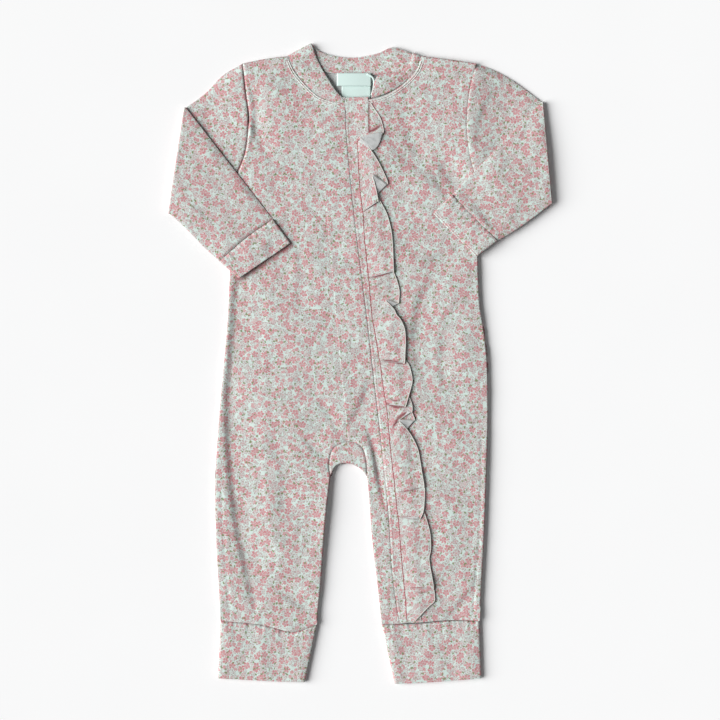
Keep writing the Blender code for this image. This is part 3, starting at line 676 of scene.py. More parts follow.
def cotton(graph, tint, place, bump=0.5, sheen=0.12, roughness=0.9):
    """Sets the shader: matt cotton with a pale nap."""
    shader = graph.shader
    graph.join(tint, shader.inputs["Base Color"])
    shader.inputs["Roughness"].default_value = roughness
    shader.inputs["Specular IOR Level"].default_value = 0.2
    shader.inputs["Sheen Weight"].default_value = sheen
    shader.inputs["Sheen Roughness"].default_value = 0.5
    graph.join(knit_bump(graph, place, bump), shader.inputs["Normal"])
    return graph.material


def flat_place(graph):
    """The cloth's own flat coordinates, in millimetres, from its UV map."""
    return graph.add("ShaderNodeUVMap", uv_map="cloth").outputs["UV"]


def printed_knit(name, shift, fade=0.0):
    """The print on one piece, shifted so that no two pieces are cut from the same place."""
    graph = Graph(name)
    place = flat_place(graph)
    moved = graph.add("ShaderNodeMapping", {"Vector": place, "Location": (*shift, 0)}).outputs["Vector"]
    tint = printed(graph, moved)
    worn = graph.noise(moved, 40.0, 2.0)[0]
    tint = graph.mix(graph.math("MULTIPLY_ADD", worn, 0.12, fade), tint, colour(226, 222, 220))
    # painted shade: the mesh's float attribute mixes the print towards that dark red, by at most 0.85
    painted_shading = graph.add("ShaderNodeAttribute", attribute_name="tuck").outputs["Fac"]
    tint = graph.mix(graph.math("MINIMUM", painted_shading, 0.85), tint, PAINTED_SHADE_RED)
    return cotton(graph, tint, place)


def plain_knit(name, tint, bump=0.6):
    """Unprinted knit, with the print showing faintly through from the other side."""
    graph = Graph(name)
    place = flat_place(graph)
    through = graph.noise(place, 3.2, 3.0)[0]
    shade = graph.mix(graph.step(through, 0.42, 0.66), colour(*tint), colour(*(0.93 * np.array(tint))))
    return cotton(graph, shade, place, bump)


PRINT = printed_knit("printed_knit", (0, 0))
BAND_PRINT = printed_knit("doubled_knit", (311, 57))
RUFFLE_PRINT = printed_knit("ruffle_knit", (97, 409), 0.03)
REVERSE = plain_knit("knit_reverse", (206, 208, 207))
print("finishes:", PRINT.name, BAND_PRINT.name, RUFFLE_PRINT.name, REVERSE.name)

# %% [markdown]
# ## The body panels
#
# On the real suit the back is one piece, the wearer's right front takes in the crotch and a strip
# of the left leg, and the left front closes beside it under the placket. Each front is worked out
# in strips that share a line, because a leg and a neck don't fit on one four-sided patch.

# %% Fronts
SHARE_ROWS = with_rolls(330, 500)
neck_share = 0.52  # how far round the right neck the centre line starts


def part_of(line, start, stop, count=120):
    """The part of a line between two shares of its length."""
    return along(line, np.linspace(start, stop, count))


RIGHT_NECK_OUTER = part_of(RIGHT_NECK, 0, neck_share)
RIGHT_NECK_INNER = part_of(RIGHT_NECK, neck_share, 1)
centre_start = RIGHT_NECK_OUTER[-1]
GUSSET_MIDDLE = along(GUSSET_SEAM, [0.5])[0]
centre_line = smooth([centre_start, (-30, 150), (-20, 40), GUSSET_MIDDLE])
right_inner_edge = joined(centre_line, part_of(GUSSET_SEAM, 0.5, 0), INNER_LEG["right"])
strip_inner_edge = joined(centre_line, part_of(GUSSET_SEAM, 0.5, 1), INNER_LEG["left"])
under_edge = beside(PLACKET_SEAM, 2.0)  # the right front's edge, turned in under the placket
left_edge = beside(PLACKET_SEAM, 7.0)  # the left front's edge, hidden there as well


def hem_from(line, x_start, x_stop, count=80):
    """The part of a hem line between two places across the suit."""
    x = np.linspace(x_start, x_stop, count)
    return np.stack([x, np.interp(x, line[:, 0], line[:, 1])], axis=1)


right_side = joined(ARMHOLE["right"], SIDE["right"])
left_side = joined(ARMHOLE["left"], SIDE["left"])
right_top = joined(SHOULDER["right"][::-1], RIGHT_NECK_OUTER)
print("centre line starts at", np.round(centre_start, 1))

# %% Heights beside and under the placket
HIDDEN_DIP = 1.4  # how much lower the left front lies where the placket covers it
UNDER_DIP = 2.0  # how much lower the right front's edge lies once it has passed the placket's seam
TIGHT_FROM = 150.0  # the placket's seam gets tighter from this level down to 0


def smoothstep(share):
    """0 below 0, 1 above 1 and 3x^2 - 2x^3 between."""
    share = np.clip(share, 0, 1)
    return share * share * (3 - 2 * share)


def tightness(xy):
    """0 at the chest and above, 1 from the hips down."""
    return np.clip((TIGHT_FROM - xy[:, 1]) / TIGHT_FROM, 0, 1)


def placket_ditch(xy, apart):
    """Depth of the placket's seam: shallow at the neck, deeper towards the leg."""
    return (0.02 + 0.25 * tightness(xy)) * np.exp(-((apart / 0.7) ** 2))


def front_under_placket(xy):
    """The front's height, dipping where its edge runs under the placket."""
    apart, side = nearest(xy, PLACKET_SEAM[::5])[:2]
    dip = UNDER_DIP * (side > 0) * (1 - np.exp(-apart / 0.4))
    return front_top(xy) - placket_ditch(xy, apart) - dip


def left_under_placket(xy):
    """The left front's height: it lies lower where the placket covers it."""
    apart = nearest(xy, PLACKET_SEAM[::5])[0]
    return front_top(xy) - HIDDEN_DIP * (1 - smoothstep((apart - 9) / 10))


def flat_grid(plan, height, flip=False, shift=(0, 0), painted_shading=None):
    """A plan raised to its height; its flat cloth is the plan itself, shifted on the bolt."""
    # painted shade at each point, from the function given for it
    tuck = None if painted_shading is None else painted_shading(plan.reshape(-1, 2))
    return Grid(raised(plan, height), plan + np.array(shift), flip=flip, tuck=tuck)


def front_painted_shade(xy):
    """Painted shade of the fronts: as for the other pieces, with more along the placket's seam, which is
    drawn tighter towards the leg.
    """
    tight = 0.04 + 0.2 * tightness(xy)
    return painted_shade_at(xy) + tight * np.exp(-((nearest(xy, PLACKET_SEAM[::5])[0] / 0.6) ** 2))


# %% Right front, strip and left front
right_columns = with_rolls(62, 85)
strip_columns = np.linspace(0, 1, 36)
right_plan = coons(right_side, right_inner_edge, right_top, RIGHT_HEM, SHARE_ROWS, right_columns)
strip_hem = hem_from(LEFT_HEM, 20, PLACKET_SEAM[-1, 0])
strip_plan = coons(strip_inner_edge, PLACKET_SEAM, RIGHT_NECK_INNER, strip_hem, SHARE_ROWS, strip_columns)
under_ends = (np.array([PLACKET_SEAM[end], under_edge[end]]) for end in (0, -1))
under_plan = coons(PLACKET_SEAM, under_edge, *under_ends, SHARE_ROWS, np.array([0, 0.06, 0.15, 0.3, 0.6, 1]))
right_plans = (right_plan, strip_plan, under_plan)
right_front = [flat_grid(plan, front_under_placket, painted_shading=front_painted_shade) for plan in right_plans]
made = piece("right_front_cloth", right_front, [PRINT, REVERSE], KNIT)
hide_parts("right_front")
laid_sheet(made, right_front)

left_neck_start = int(np.argmin(abs(LEFT_NECK[:, 0] - left_edge[0, 0])))
left_top = joined(np.vstack([left_edge[:1], LEFT_NECK[left_neck_start + 2 :]]), SHOULDER["left"])
left_hem = hem_from(LEFT_HEM, left_edge[-1, 0], 106)
left_plan = coons(left_edge, left_side, left_top, left_hem, SHARE_ROWS, with_rolls(62, 85))
left_front = [flat_grid(left_plan, left_under_placket, shift=(150, 30), painted_shading=painted_shade_at)]
made = piece("left_front_cloth", left_front, [PRINT, REVERSE], KNIT)
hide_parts("left_front")
laid_sheet(made, left_front)

# %% [markdown]
# The back lies on the surface and only rolls up at its edges. Nobody sees it in the photograph, so
# it is finished plainly, with the same seams and the same print.

# %% Back
BACK_MIDDLE = along(BACK_NECK, [0.5])[0]
CROTCH_MIDDLE = along(CROTCH_FOLD, [0.5])[0]
back_line = smooth([BACK_MIDDLE, (-5, 150), (-8, 30), CROTCH_MIDDLE])
back_rows = with_rolls(170, 500)
back_columns = with_rolls(44, 110)
back_right = coons(
    right_side,
    joined(back_line, part_of(CROTCH_FOLD, 0.5, 0), INNER_LEG["right"]),
    joined(SHOULDER["right"][::-1], part_of(BACK_NECK, 0, 0.5)),
    RIGHT_HEM,
    back_rows,
    back_columns,
)
back_left = coons(
    joined(back_line, part_of(CROTCH_FOLD, 0.5, 1), INNER_LEG["left"]),
    left_side,
    joined(part_of(BACK_NECK, 0.5, 1), SHOULDER["left"]),
    LEFT_HEM,
    back_rows,
    back_columns,
)
back = [flat_grid(back_right, back_low, True, (0, 600)), flat_grid(back_left, back_low, True, (0, 600))]
made = piece("back_cloth", back, [PRINT, REVERSE], KNIT)
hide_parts("back")
laid_sheet(made, back)

# %% [markdown]
# ## The gusset
#
# A small crescent is let into the crotch so that the legs can spread. Its upper edge is the U of
# twin stitching in the photograph, and its lower edge folds under to the back.

# %% Gusset
gusset_plan = coons(
    np.repeat(GUSSET_SEAM[:1], 2, axis=0),
    np.repeat(GUSSET_SEAM[-1:], 2, axis=0),
    GUSSET_SEAM,
    CROTCH_FOLD,
    with_rolls(16, 20),
    np.linspace(0, 1, 60),
)
gusset = [flat_grid(gusset_plan, front_top, shift=(40, 900), painted_shading=painted_shade_at)]
made = piece("gusset_cloth", gusset, [PRINT, REVERSE], KNIT)
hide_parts("gusset")
laid_sheet(made, gusset)

# %% [markdown]
# ## Doubled cloth
#
# The placket and the neckband are strips folded double. A doubled strip is worked out from the
# surface in its middle: the upper and the under face stand off it along its normal, and the
# distance runs out to nothing at the four edges, so each folded edge is a half round.

# %% Doubled strips
def edge_shares(count, length, radius):
    """Even shares of a length, with extra ones round an edge of that radius at both ends."""
    turn = np.radians(np.arange(0, 90, 18))
    edge = radius * (1 - np.cos(turn)) / length
    return np.concatenate([edge, np.linspace(radius / length, 1 - radius / length, count), 1 - edge[::-1]])


def normals(points):
    """Unit normals of a grid, from the cross product of its steps down and across."""
    normal = np.cross(np.gradient(points, axis=0), np.gradient(points, axis=1))
    return normal / np.maximum(np.linalg.norm(normal, axis=2, keepdims=True), 1e-9)


def arc_cloth(points, shift=(0, 0), middle=None):
    """Flat place of each point: its distance across from the middle column, and down that column."""
    across = np.cumsum(np.linalg.norm(np.diff(points, axis=1, prepend=points[:, :1]), axis=2), axis=1)
    middle = points.shape[1] // 2 if middle is None else middle
    down = np.append(0, np.cumsum(steps_of(points[:, middle])))
    across = across - across[:, middle : middle + 1]
    return np.dstack([across + shift[0], np.broadcast_to(down[:, None] + shift[1], across.shape)])


def doubled(points, rows, columns, length, width, thickness, shift=(0, 0)):
    """Upper and under face: middle surface + and - its normal times r sqrt(1 - (1 - d / r)^2)."""
    radius = thickness / 2
    near_row = np.minimum(rows, 1 - rows)[:, None] * length
    near_column = np.minimum(columns, 1 - columns)[None, :] * width
    half = radius * rounded(near_row, radius) * rounded(near_column, radius)
    offset = normals(points) * half[..., None]
    cloth = arc_cloth(points, shift)
    return [Grid(points + offset, cloth), Grid(points - offset, cloth + [width + 9, 0], flip=True)]


# %% [markdown]
# ## The placket
#
# The strip that covers the closure is sewn in at its left edge, rises out of that seam and lies
# on the left front. The ruffle is sewn onto it.

# %% Placket
PLACKET_LENGTH, PLACKET_WIDTH, PLACKET_WALL = 462, 20.0, 1.2
PLACKET_RISE = 0.5  # how far its free edge stands above the front
PLACKET_SUNK = 0.05  # how far it lies below the front at its seam
PLACKET_UNDER = 0.8  # how far its edge runs on under the right front
placket_rows = edge_shares(300, PLACKET_LENGTH, PLACKET_WALL / 2)
placket_columns = edge_shares(26, PLACKET_WIDTH, PLACKET_WALL / 2)
placket_start = along(PLACKET_SEAM, placket_rows)
way = np.gradient(smooth(PLACKET_SEAM, 400), axis=0)
way = along(way / np.linalg.norm(way, axis=1)[:, None], placket_rows)
sideways = np.stack([-way[:, 1], way[:, 0]], axis=1)
placket_across = placket_columns * (PLACKET_WIDTH + PLACKET_UNDER) - PLACKET_UNDER
placket_plan = placket_start[:, None] + sideways[:, None] * placket_across[None, :, None]


def placket_rise(across):
    """Rise of the placket above the front, from -sunk at its seam to the full rise at its free edge."""
    return (PLACKET_RISE + PLACKET_SUNK) * smoothstep(across / PLACKET_WIDTH) - PLACKET_SUNK


def placket_middle(xy):
    """The front's height and the placket's rise, less half its wall, with the seam's ditch."""
    apart, side = nearest(xy, PLACKET_SEAM[::5])[:2]
    wave = 0.09 * np.sin(xy[:, 1] / 5.1 + 1.5 * np.sin(xy[:, 1] / 17))
    height = front_top(xy) + placket_rise(apart * side) - PLACKET_WALL / 2
    return height + wave * smoothstep(apart / 5) - placket_ditch(xy, apart)


placket_points = raised(placket_plan, placket_middle)
placket_size = (PLACKET_LENGTH, PLACKET_WIDTH, PLACKET_WALL)
placket = doubled(placket_points, placket_rows, placket_columns, *placket_size, (500, 0))
made = piece("placket_cloth", placket, [PRINT])
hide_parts("placket")
laid_sheet(made, placket[:1])

# %% [markdown]
# ## The closure behind the placket
#
# The photograph doesn't show how the suit closes. Such suits have a fine zip or a row of snaps on
# a woven tape under the placket. Only the tape is made, plain and out of sight from above.

# %% Closure tape
TAPE_FROM, TAPE_TO = -3.5, 13.0  # how far it reaches to each side of the placket's seam
TAPE_DEPTH, TAPE_DIP = 1.75, 0.9  # how far it lies below the front, and how much more at the seam
tape_columns = np.linspace(TAPE_FROM, TAPE_TO, 12)
tape_rows = np.linspace(0.012, 0.985, 160)
tape_plan = along(PLACKET_SEAM, tape_rows)[:, None] + (
    along(sideways, tape_rows)[:, None] * tape_columns[None, :, None]
)


def tape_top(xy):
    """The tape's height: below the front everywhere, and lowest at the placket's seam."""
    at_seam = np.exp(-((nearest(xy, PLACKET_SEAM[::5])[0] / 2.0) ** 2))
    return front_top(xy) - TAPE_DEPTH - TAPE_DIP * at_seam


TAPE = Graph("woven_tape")
tape_place = flat_place(TAPE)
tape_inputs = {"Vector": tape_place, "Scale": 2.6, "Distortion": 0.6}
tape_weave = TAPE.add("ShaderNodeTexWave", tape_inputs, bands_direction="Y")
tape_tint = TAPE.mix(tape_weave.outputs[1], colour(196, 208, 202), colour(214, 224, 218))
cotton(TAPE, tape_tint, tape_place, 0.4, 0.1, 0.7)
tape = [Grid(raised(tape_plan, tape_top), tape_plan)]
made = piece("closure_tape", tape, [TAPE.material], 0.5)
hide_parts("zip_tape")
laid_sheet(made, tape)

# %% [markdown]
# ## The ruffle
#
# The ruffle is a straight strip, gathered onto the placket at one edge and free at the other. It
# falls in waves that lie over each other, and where a wave turns back its unprinted reverse
# shows. So the surface is ruled between two lines, the stitched one and the free one, and the
# free one doubles back on itself at each fold. A height field couldn't do that, and a cloth
# simulation would put the waves in other places than the photograph's.

# %% Rows of the ruffle
# Each row is a ruling of the surface from the neck down: its root on the placket, its place on the
# free edge, how many layers it lies up, and a sideways bow where the cloth turns over. A wave ends
# in a narrow fold, or in a fold turned back so far that the reverse shows.
RuffleRow = namedtuple("RuffleRow", "root_x root_y edge_x edge_y lift bow_x bow_y", defaults=(0.0, 0.0))
RUFFLE_ROWS = tuple(RuffleRow(*row) for row in (
    (6.2, 235.0, 10.1, 231.4, 0.3),  # wave 0
    (6.2, 228.8, 13.2, 226.2, 0.5),
    (6.2, 221.8, 16.7, 221.3, 0.7),
    (6.2, 214.7, 19.2, 216.5, 0.9),
    (5.7, 208.6, 20.7, 211.2, 1.0),
    (4.4, 204.2, 21.6, 206.8, 1.3),
    (2.6, 200.2, 21.1, 204.6, 1.8, 4.0, -5.0),  # turned-back fold
    (1.9, 199.7, 19.0, 204.9, 2.1, 11.0, -13.0),
    (1.3, 199.3, 15.0, 204.4, 2.4, 12.0, -22.0),
    (0.0, 198.6, 7.0, 202.3, 2.9, 14.0, -20.0),
    (-0.9, 198.0, 0.9, 200.6, 3.5, 3.0, -5.0),  # top of wave 1
    (-1.2, 195.4, 2.6, 199.2, 3.6),  # wave 1
    (-1.0, 188.3, 6.2, 195.4, 2.1),
    (-0.7, 180.4, 10.6, 189.2, 1.9),
    (-0.2, 169.8, 15.8, 181.3, 1.8),
    (0.5, 159.3, 20.2, 172.9, 1.5),
    (1.6, 148.7, 23.3, 166.3, 1.3),
    (2.5, 140.8, 25.0, 161.9, 1.2),
    (2.8, 138.2, 24.6, 159.6, 1.5),  # turned-back fold
    (2.9, 137.6, 19.4, 163.3, 2.4),
    (3.0, 137.1, 12.1, 167.6, 3.2),
    (3.1, 136.6, 13.6, 161.0, 3.6),  # wave 1b
    (3.2, 136.0, 15.4, 153.1, 3.6),
    (3.3, 135.3, 16.9, 144.3, 3.4),  # narrow fold
    (3.4, 134.8, 16.2, 146.1, 2.4),
    (3.5, 134.3, 15.5, 149.2, 1.4),
    (3.6, 133.2, 17.1, 147.3, 1.0),  # wave 2
    (3.9, 128.5, 20.8, 140.8, 1.0),
    (4.2, 121.4, 24.5, 133.3, 1.2),
    (4.9, 110.9, 27.8, 121.4, 1.5),
    (5.8, 101.2, 29.2, 110.9, 1.7),
    (6.9, 90.6, 29.9, 98.6, 1.9),
    (7.9, 81.8, 30.2, 87.1, 3.5),
    (8.4, 77.8, 30.3, 82.5, 3.4),  # narrow fold
    (8.4, 77.3, 28.6, 84.0, 2.4),
    (8.5, 76.7, 28.0, 86.2, 1.4),
    (8.6, 75.7, 29.9, 83.2, 1.0),  # wave 3
    (9.2, 68.6, 33.4, 74.8, 1.0),
    (10.0, 58.1, 35.4, 66.0, 1.1),
    (10.9, 48.4, 35.2, 59.4, 1.2),
    (11.6, 42.2, 34.3, 55.0, 1.6),  # turned-back fold
    (11.7, 41.8, 28.2, 57.1, 2.5),
    (11.8, 41.4, 23.6, 57.6, 3.3),
    (11.9, 40.8, 27.0, 54.0, 3.6),  # wave 4
    (12.1, 39.2, 30.8, 49.6, 2.2),
    (12.8, 35.2, 33.0, 44.9, 3.4),
    (13.9, 29.0, 36.6, 40.5, 3.1),
    (15.1, 22.0, 40.0, 32.6, 2.9),
    (16.4, 14.1, 40.9, 21.1, 2.9),
    (17.6, 7.0, 40.5, 11.4, 3.2),
    (18.3, 4.2, 40.0, 2.6, 3.6),  # narrow fold
    (18.4, 3.7, 38.4, 3.5, 2.5),
    (18.5, 3.2, 38.3, 5.8, 1.5),
    (18.6, 2.3, 40.8, 4.8, 1.1),  # wave 5
    (19.2, -2.6, 44.0, 0.4, 1.1),
    (20.2, -11.4, 45.9, -6.2, 1.3),
    (21.5, -20.2, 46.8, -13.2, 1.5),
    (22.7, -28.2, 45.4, -19.8, 1.8),
    (23.6, -32.2, 43.1, -27.7, 3.3),
    (23.8, -33.4, 40.7, -35.6, 3.4),  # narrow fold
    (23.8, -34.0, 40.1, -33.4, 2.4),
    (23.9, -34.5, 40.3, -28.6, 1.5),
    (24.0, -35.2, 43.6, -26.8, 1.2),  # wave 6
    (24.5, -39.6, 46.3, -33.1, 1.3),
    (25.3, -47.5, 46.8, -37.5, 2.5),
    (25.9, -53.7, 46.3, -40.3, 3.1),  # narrow fold
    (26.0, -55.4, 44.0, -40.1, 2.2),
    (26.2, -57.2, 43.5, -38.2, 1.4),
    (26.4, -59.8, 45.8, -39.6, 1.1),  # wave 6b
    (26.9, -66.0, 47.7, -43.5, 1.1),
    (27.5, -72.2, 48.6, -47.7, 1.5),  # turned-back fold
    (27.5, -72.9, 42.2, -47.3, 2.5),
    (27.6, -73.6, 35.4, -48.0, 3.4),
    (27.7, -74.4, 38.7, -51.6, 3.8),  # wave 7
    (28.0, -77.0, 42.6, -56.3, 2.3),
    (28.5, -81.8, 47.7, -64.2, 2.1),
    (29.4, -88.9, 51.9, -73.7, 1.9),
    (30.3, -96.8, 53.7, -83.6, 1.8),
    (31.2, -103.8, 55.4, -94.5, 2.8),
    (31.7, -109.6, 57.2, -105.2, 3.3),  # narrow fold
    (31.8, -110.4, 56.1, -106.5, 2.5),
    (31.9, -111.1, 56.0, -104.7, 1.8),
    (31.9, -111.9, 57.6, -107.0, 1.6),  # wave 8
    (32.6, -117.9, 57.6, -113.5, 1.4),
    (33.4, -125.8, 57.2, -121.4, 1.8),
    (34.1, -131.5, 56.3, -128.0, 3.3),
    (34.4, -133.4, 53.3, -134.5, 3.4),  # narrow fold
    (34.5, -134.1, 52.4, -131.6, 2.4),
    (34.6, -134.8, 54.6, -127.2, 1.5),
    (34.8, -136.4, 57.4, -129.4, 1.1),  # wave 9
    (35.6, -146.1, 60.0, -137.3, 1.1),
    (36.3, -156.6, 62.5, -147.8, 1.3),
    (37.1, -167.2, 63.0, -160.6, 1.4),
    (38.0, -176.0, 61.6, -169.0, 1.5),
    (38.7, -183.9, 62.7, -177.8, 1.7),
    (39.4, -191.0, 64.4, -187.0, 3.1),
    (39.8, -194.8, 65.5, -195.4, 3.3),  # narrow fold
    (39.9, -195.5, 63.9, -195.0, 2.3),
    (40.0, -196.2, 63.7, -193.2, 1.5),
    (40.1, -197.5, 65.6, -195.9, 1.2),  # wave 9b
    (40.7, -204.2, 66.5, -202.2, 1.1),
    (41.2, -212.1, 66.0, -206.8, 1.1),
    (41.7, -218.2, 60.7, -211.7, 1.0),
    (42.2, -224.0, 48.9, -224.0, 0.8),
))

# %% Pleats and folds of the ruffle
RUFFLE_WALL = 0.3
LAYER = 0.5  # height of one step of lift
CROWN = 0.2  # how far a wave stands up between two pleats
PLEATS = (  # levels where a pleat pins the root down
    198.3, 137.2, 134.6, 77.2, 68.6, 41.6, 3.5, -34.2, -56.5, -73.3, -110.7, -116.0, -134.3, -195.5, -199.0,
)
GATHERS = (  # levels of the small gathers between them
    226, 214, 184, 168, 152, 121, 108, 93, 55, 27, 14,
    -12, -23, -45, -66, -88, -100, -125, -150, -165, -181, -210,
)
GATHER_SHARE = 0.45  # how deep a gather is against a pleat
Fold = namedtuple("Fold", "amount width points")
PAINTED_FOLD_SHADES = (  # painted shade: dark red lines in the cracks where the waves crowd
    Fold(1.2, 1.0, ((7.0, 205.0), (13.5, 207.6), (19.4, 211.8))),
    Fold(0.8, 0.7, ((3.4, 135.4), (9.5, 139.2), (16.8, 144.4))),
    Fold(0.85, 0.8, ((9.3, 77.4), (19.0, 79.4), (30.0, 82.8))),
    Fold(0.6, 0.6, ((14.0, 68.4), (17.0, 71.2), (20.5, 73.2))),
    Fold(0.45, 0.6, ((20.5, 10.4), (26.0, 11.2), (31.4, 9.0))),
    Fold(1.2, 1.1, ((19.8, 4.9), (30.0, 3.9), (40.0, 1.8))),
    Fold(1.2, 1.1, ((23.4, -32.4), (32.0, -35.8), (40.6, -35.7))),
    Fold(0.8, 0.8, ((25.0, -27.6), (31.0, -30.5), (37.0, -29.6))),
    Fold(1.1, 1.1, ((46.0, -40.0), (35.9, -44.4), (29.9, -53.9))),
    Fold(0.7, 0.7, ((34.0, -110.9), (45.0, -109.4), (55.0, -106.5))),
    Fold(0.7, 0.9, ((34.2, -132.2), (45.0, -133.2), (55.0, -134.4))),
    Fold(0.7, 0.6, ((44.6, -194.5), (54.0, -194.6), (63.0, -195.1))),
    Fold(0.6, 0.8, ((50.0, -198.4), (56.0, -198.9), (62.4, -197.6))),
)
print("ruffle has", len(RUFFLE_ROWS), "rows and", len(PLEATS), "pleats")

# %% Ruffle
ruffle_lines = smooth(RUFFLE_ROWS, 1000)
ruffle_shares = np.linspace(0, 1, 26) ** 0.9
out = ruffle_shares[None]
root, edge, lift = ruffle_lines[:, None, 0:2], ruffle_lines[:, None, 2:4], ruffle_lines[:, 4:5]
bow = 2 * (ruffle_shares * (1 - ruffle_shares))[None, :, None] * ruffle_lines[:, None, 5:7]
ruffle_plan = root + (edge - root) * ruffle_shares[None, :, None] + bow
down = ruffle_lines[:, 1:2]
pinch_width = 0.8 + 1.4 * out
pinch = sum(np.exp(-(((down - level) / pinch_width) ** 2)) for level in PLEATS)
pinch = pinch + GATHER_SHARE * sum(np.exp(-(((down - level) / pinch_width) ** 2)) for level in GATHERS)
pinch = np.minimum(pinch, 1.15) * np.exp(-0.9 * out)
flat_ruffle = ruffle_plan.reshape(-1, 2)
apart, side = nearest(flat_ruffle, PLACKET_SEAM[::5])[:2]
across = (apart * side).reshape(ruffle_plan.shape[:2])
on_placket = placket_rise(across) * smoothstep((PLACKET_WIDTH + 7 - across) / 7)
first_wave = smoothstep((down - 200) / 8)  # the first wave comes out from under the placket's edge
stand = 0.12 + 0.25 * out + CROWN * smoothstep(out / 0.35) * (1 - pinch) + LAYER * lift * out**0.85
stand = (on_placket + stand) * (1 - first_wave) + (0.3 + 0.5 * LAYER * lift * out) * first_wave
ruffle_height = front_top(flat_ruffle).reshape(ruffle_plan.shape[:2]) + stand
# painted shade on the ruffle: a little all over, more along its stitched root, a dark line just past the
# placket's edge where the first wave comes out from under it, and the fold lines
ruffle_painted_shade = (0.06 + 0.45 * np.exp(-((out / 0.03) ** 2))) * (1 - first_wave)
ruffle_painted_shade = ruffle_painted_shade + 0.75 * np.exp(-(((across - PLACKET_WIDTH - 0.4) / 0.8) ** 2)) * first_wave
for fold in PAINTED_FOLD_SHADES:
    gap, _, share = nearest(flat_ruffle, smooth(fold.points, 24))
    taper = np.sqrt(np.sin(np.pi * np.clip(share, 0.03, 0.97)))
    ruffle_painted_shade += (fold.amount * taper * np.exp(-((gap / fold.width) ** 2))).reshape(across.shape)
ruffle_points = np.dstack([ruffle_plan, ruffle_height])
ruffle = [Grid(ruffle_points, arc_cloth(ruffle_points), tuck=ruffle_painted_shade)]
made = piece("ruffle_cloth", ruffle, [RUFFLE_PRINT, REVERSE], RUFFLE_WALL)
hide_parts("ruffle")
ruffle_piece = made

# %% [markdown]
# The free edge is overlocked with pale thread, which reads as a thin light line. It is a cord of
# stitches, so a round profile is carried along the free edge.

# %% Tubes and the ruffle's overlocked edge
def tube(path, radius, sides=8, flat=1.0):
    """A round profile carried along a path: path + r (cos a side + flat sin a up), closed at its ends."""
    way = np.gradient(path, axis=0)
    way /= np.linalg.norm(way, axis=1)[:, None]
    side = np.cross(way, (0, 0, 1.0))
    side /= np.maximum(np.linalg.norm(side, axis=1)[:, None], 1e-9)
    up = np.cross(side, way)
    angle = np.linspace(0, 2 * np.pi, sides, endpoint=False)[None, :, None]
    size = np.full(len(path), float(radius))
    size[[0, -1]] = radius * 0.02
    rim = np.cos(angle) * side[:, None] + flat * np.sin(angle) * up[:, None]
    points = path[:, None] + size[:, None, None] * rim
    lengths = np.cumsum(np.linalg.norm(np.diff(path, axis=0, prepend=path[:1]), axis=1))
    cloth = np.dstack(np.broadcast_arrays(np.arange(sides)[None] * 0.4, lengths[:, None]))
    return Grid(points, cloth.astype(float), ring=True)


def thread(name, tint, pitch=0.9):
    """Sewing thread laid side by side: a wave along the path in tint and bump."""
    graph = Graph(name)
    place = flat_place(graph)
    inputs = {"Vector": place, "Scale": 1 / pitch, "Distortion": 1.2}
    wave = graph.add("ShaderNodeTexWave", inputs, bands_direction="Y").outputs[1]
    tone = graph.mix(wave, colour(*(0.86 * np.array(tint))), colour(*tint))
    cotton(graph, tone, place, 0.3, 0.2, 0.75)
    return graph.material


OVERLOCK = thread("overlock_thread", (216, 212, 206))
hem_path = ruffle_points[:, -1] + np.array([0, 0, -RUFFLE_WALL / 2])
ruffle_hem = [tube(hem_path, 0.46, 8)]
made = piece("ruffle_overlock", ruffle_hem, [OVERLOCK])
laid_sheet(ruffle_piece, ruffle)

# %% [markdown]
# ## The neckband
#
# The band is a doubled strip round the neck. It lies flat behind the neck, folds over at both
# shoulders and comes forward to the placket. Its rows give the seam and the free edge, and a
# rise from the back's height to the front's.

# %% Rows of the neckband
BandRow = namedtuple("BandRow", "seam_x seam_y edge_x edge_y rise")
NECKBAND = tuple(BandRow(*row) for row in (
    (-12.0, 231.4, -14.6, 235.6, 1.0),
    (-24.5, 233.9, -20.0, 241.5, 1.0),
    (-37.7, 240.0, -26.5, 251.5, 1.0),
    (-47.5, 249.4, -33.0, 262.5, 1.0),
    (-57.5, 262.5, -38.5, 274.0, 1.0),
    (-61.0, 269.6, -40.6, 280.8, 0.9),
    (-62.0, 272.7, -41.6, 283.4, 0.5),
    (-60.3, 271.6, -40.0, 281.8, 0.1),
    (-49.0, 262.9, -33.5, 276.5, 0.0),
    (-29.0, 258.0, -22.0, 272.8, 0.0),
    (-3.0, 256.9, -4.0, 271.2, 0.0),
    (25.0, 256.0, 15.5, 274.6, 0.25),
    (40.5, 259.6, 28.5, 280.0, 0.45),
    (50.6, 268.2, 39.5, 277.6, 0.35),
    (53.0, 271.0, 46.2, 274.0, 0.2),
    (53.4, 272.1, 47.0, 275.1, 0.25),
    (53.5, 272.5, 47.1, 275.5, 0.5),
    (53.4, 272.1, 47.0, 274.7, 0.85),
    (53.0, 271.0, 46.4, 273.0, 1.0),
    (51.9, 266.0, 45.3, 268.2, 1.0),
    (47.0, 257.0, 42.3, 263.6, 1.0),
    (39.5, 249.8, 35.6, 259.2, 1.0),
    (30.8, 243.6, 22.6, 256.6, 1.0),
    (22.0, 239.6, 16.2, 254.4, 1.0),
    (15.5, 237.4, 13.2, 247.8, 1.0),
    (11.0, 236.4, 11.2, 238.4, 1.0),
))
print("neckband is drawn from", len(NECKBAND), "rows")

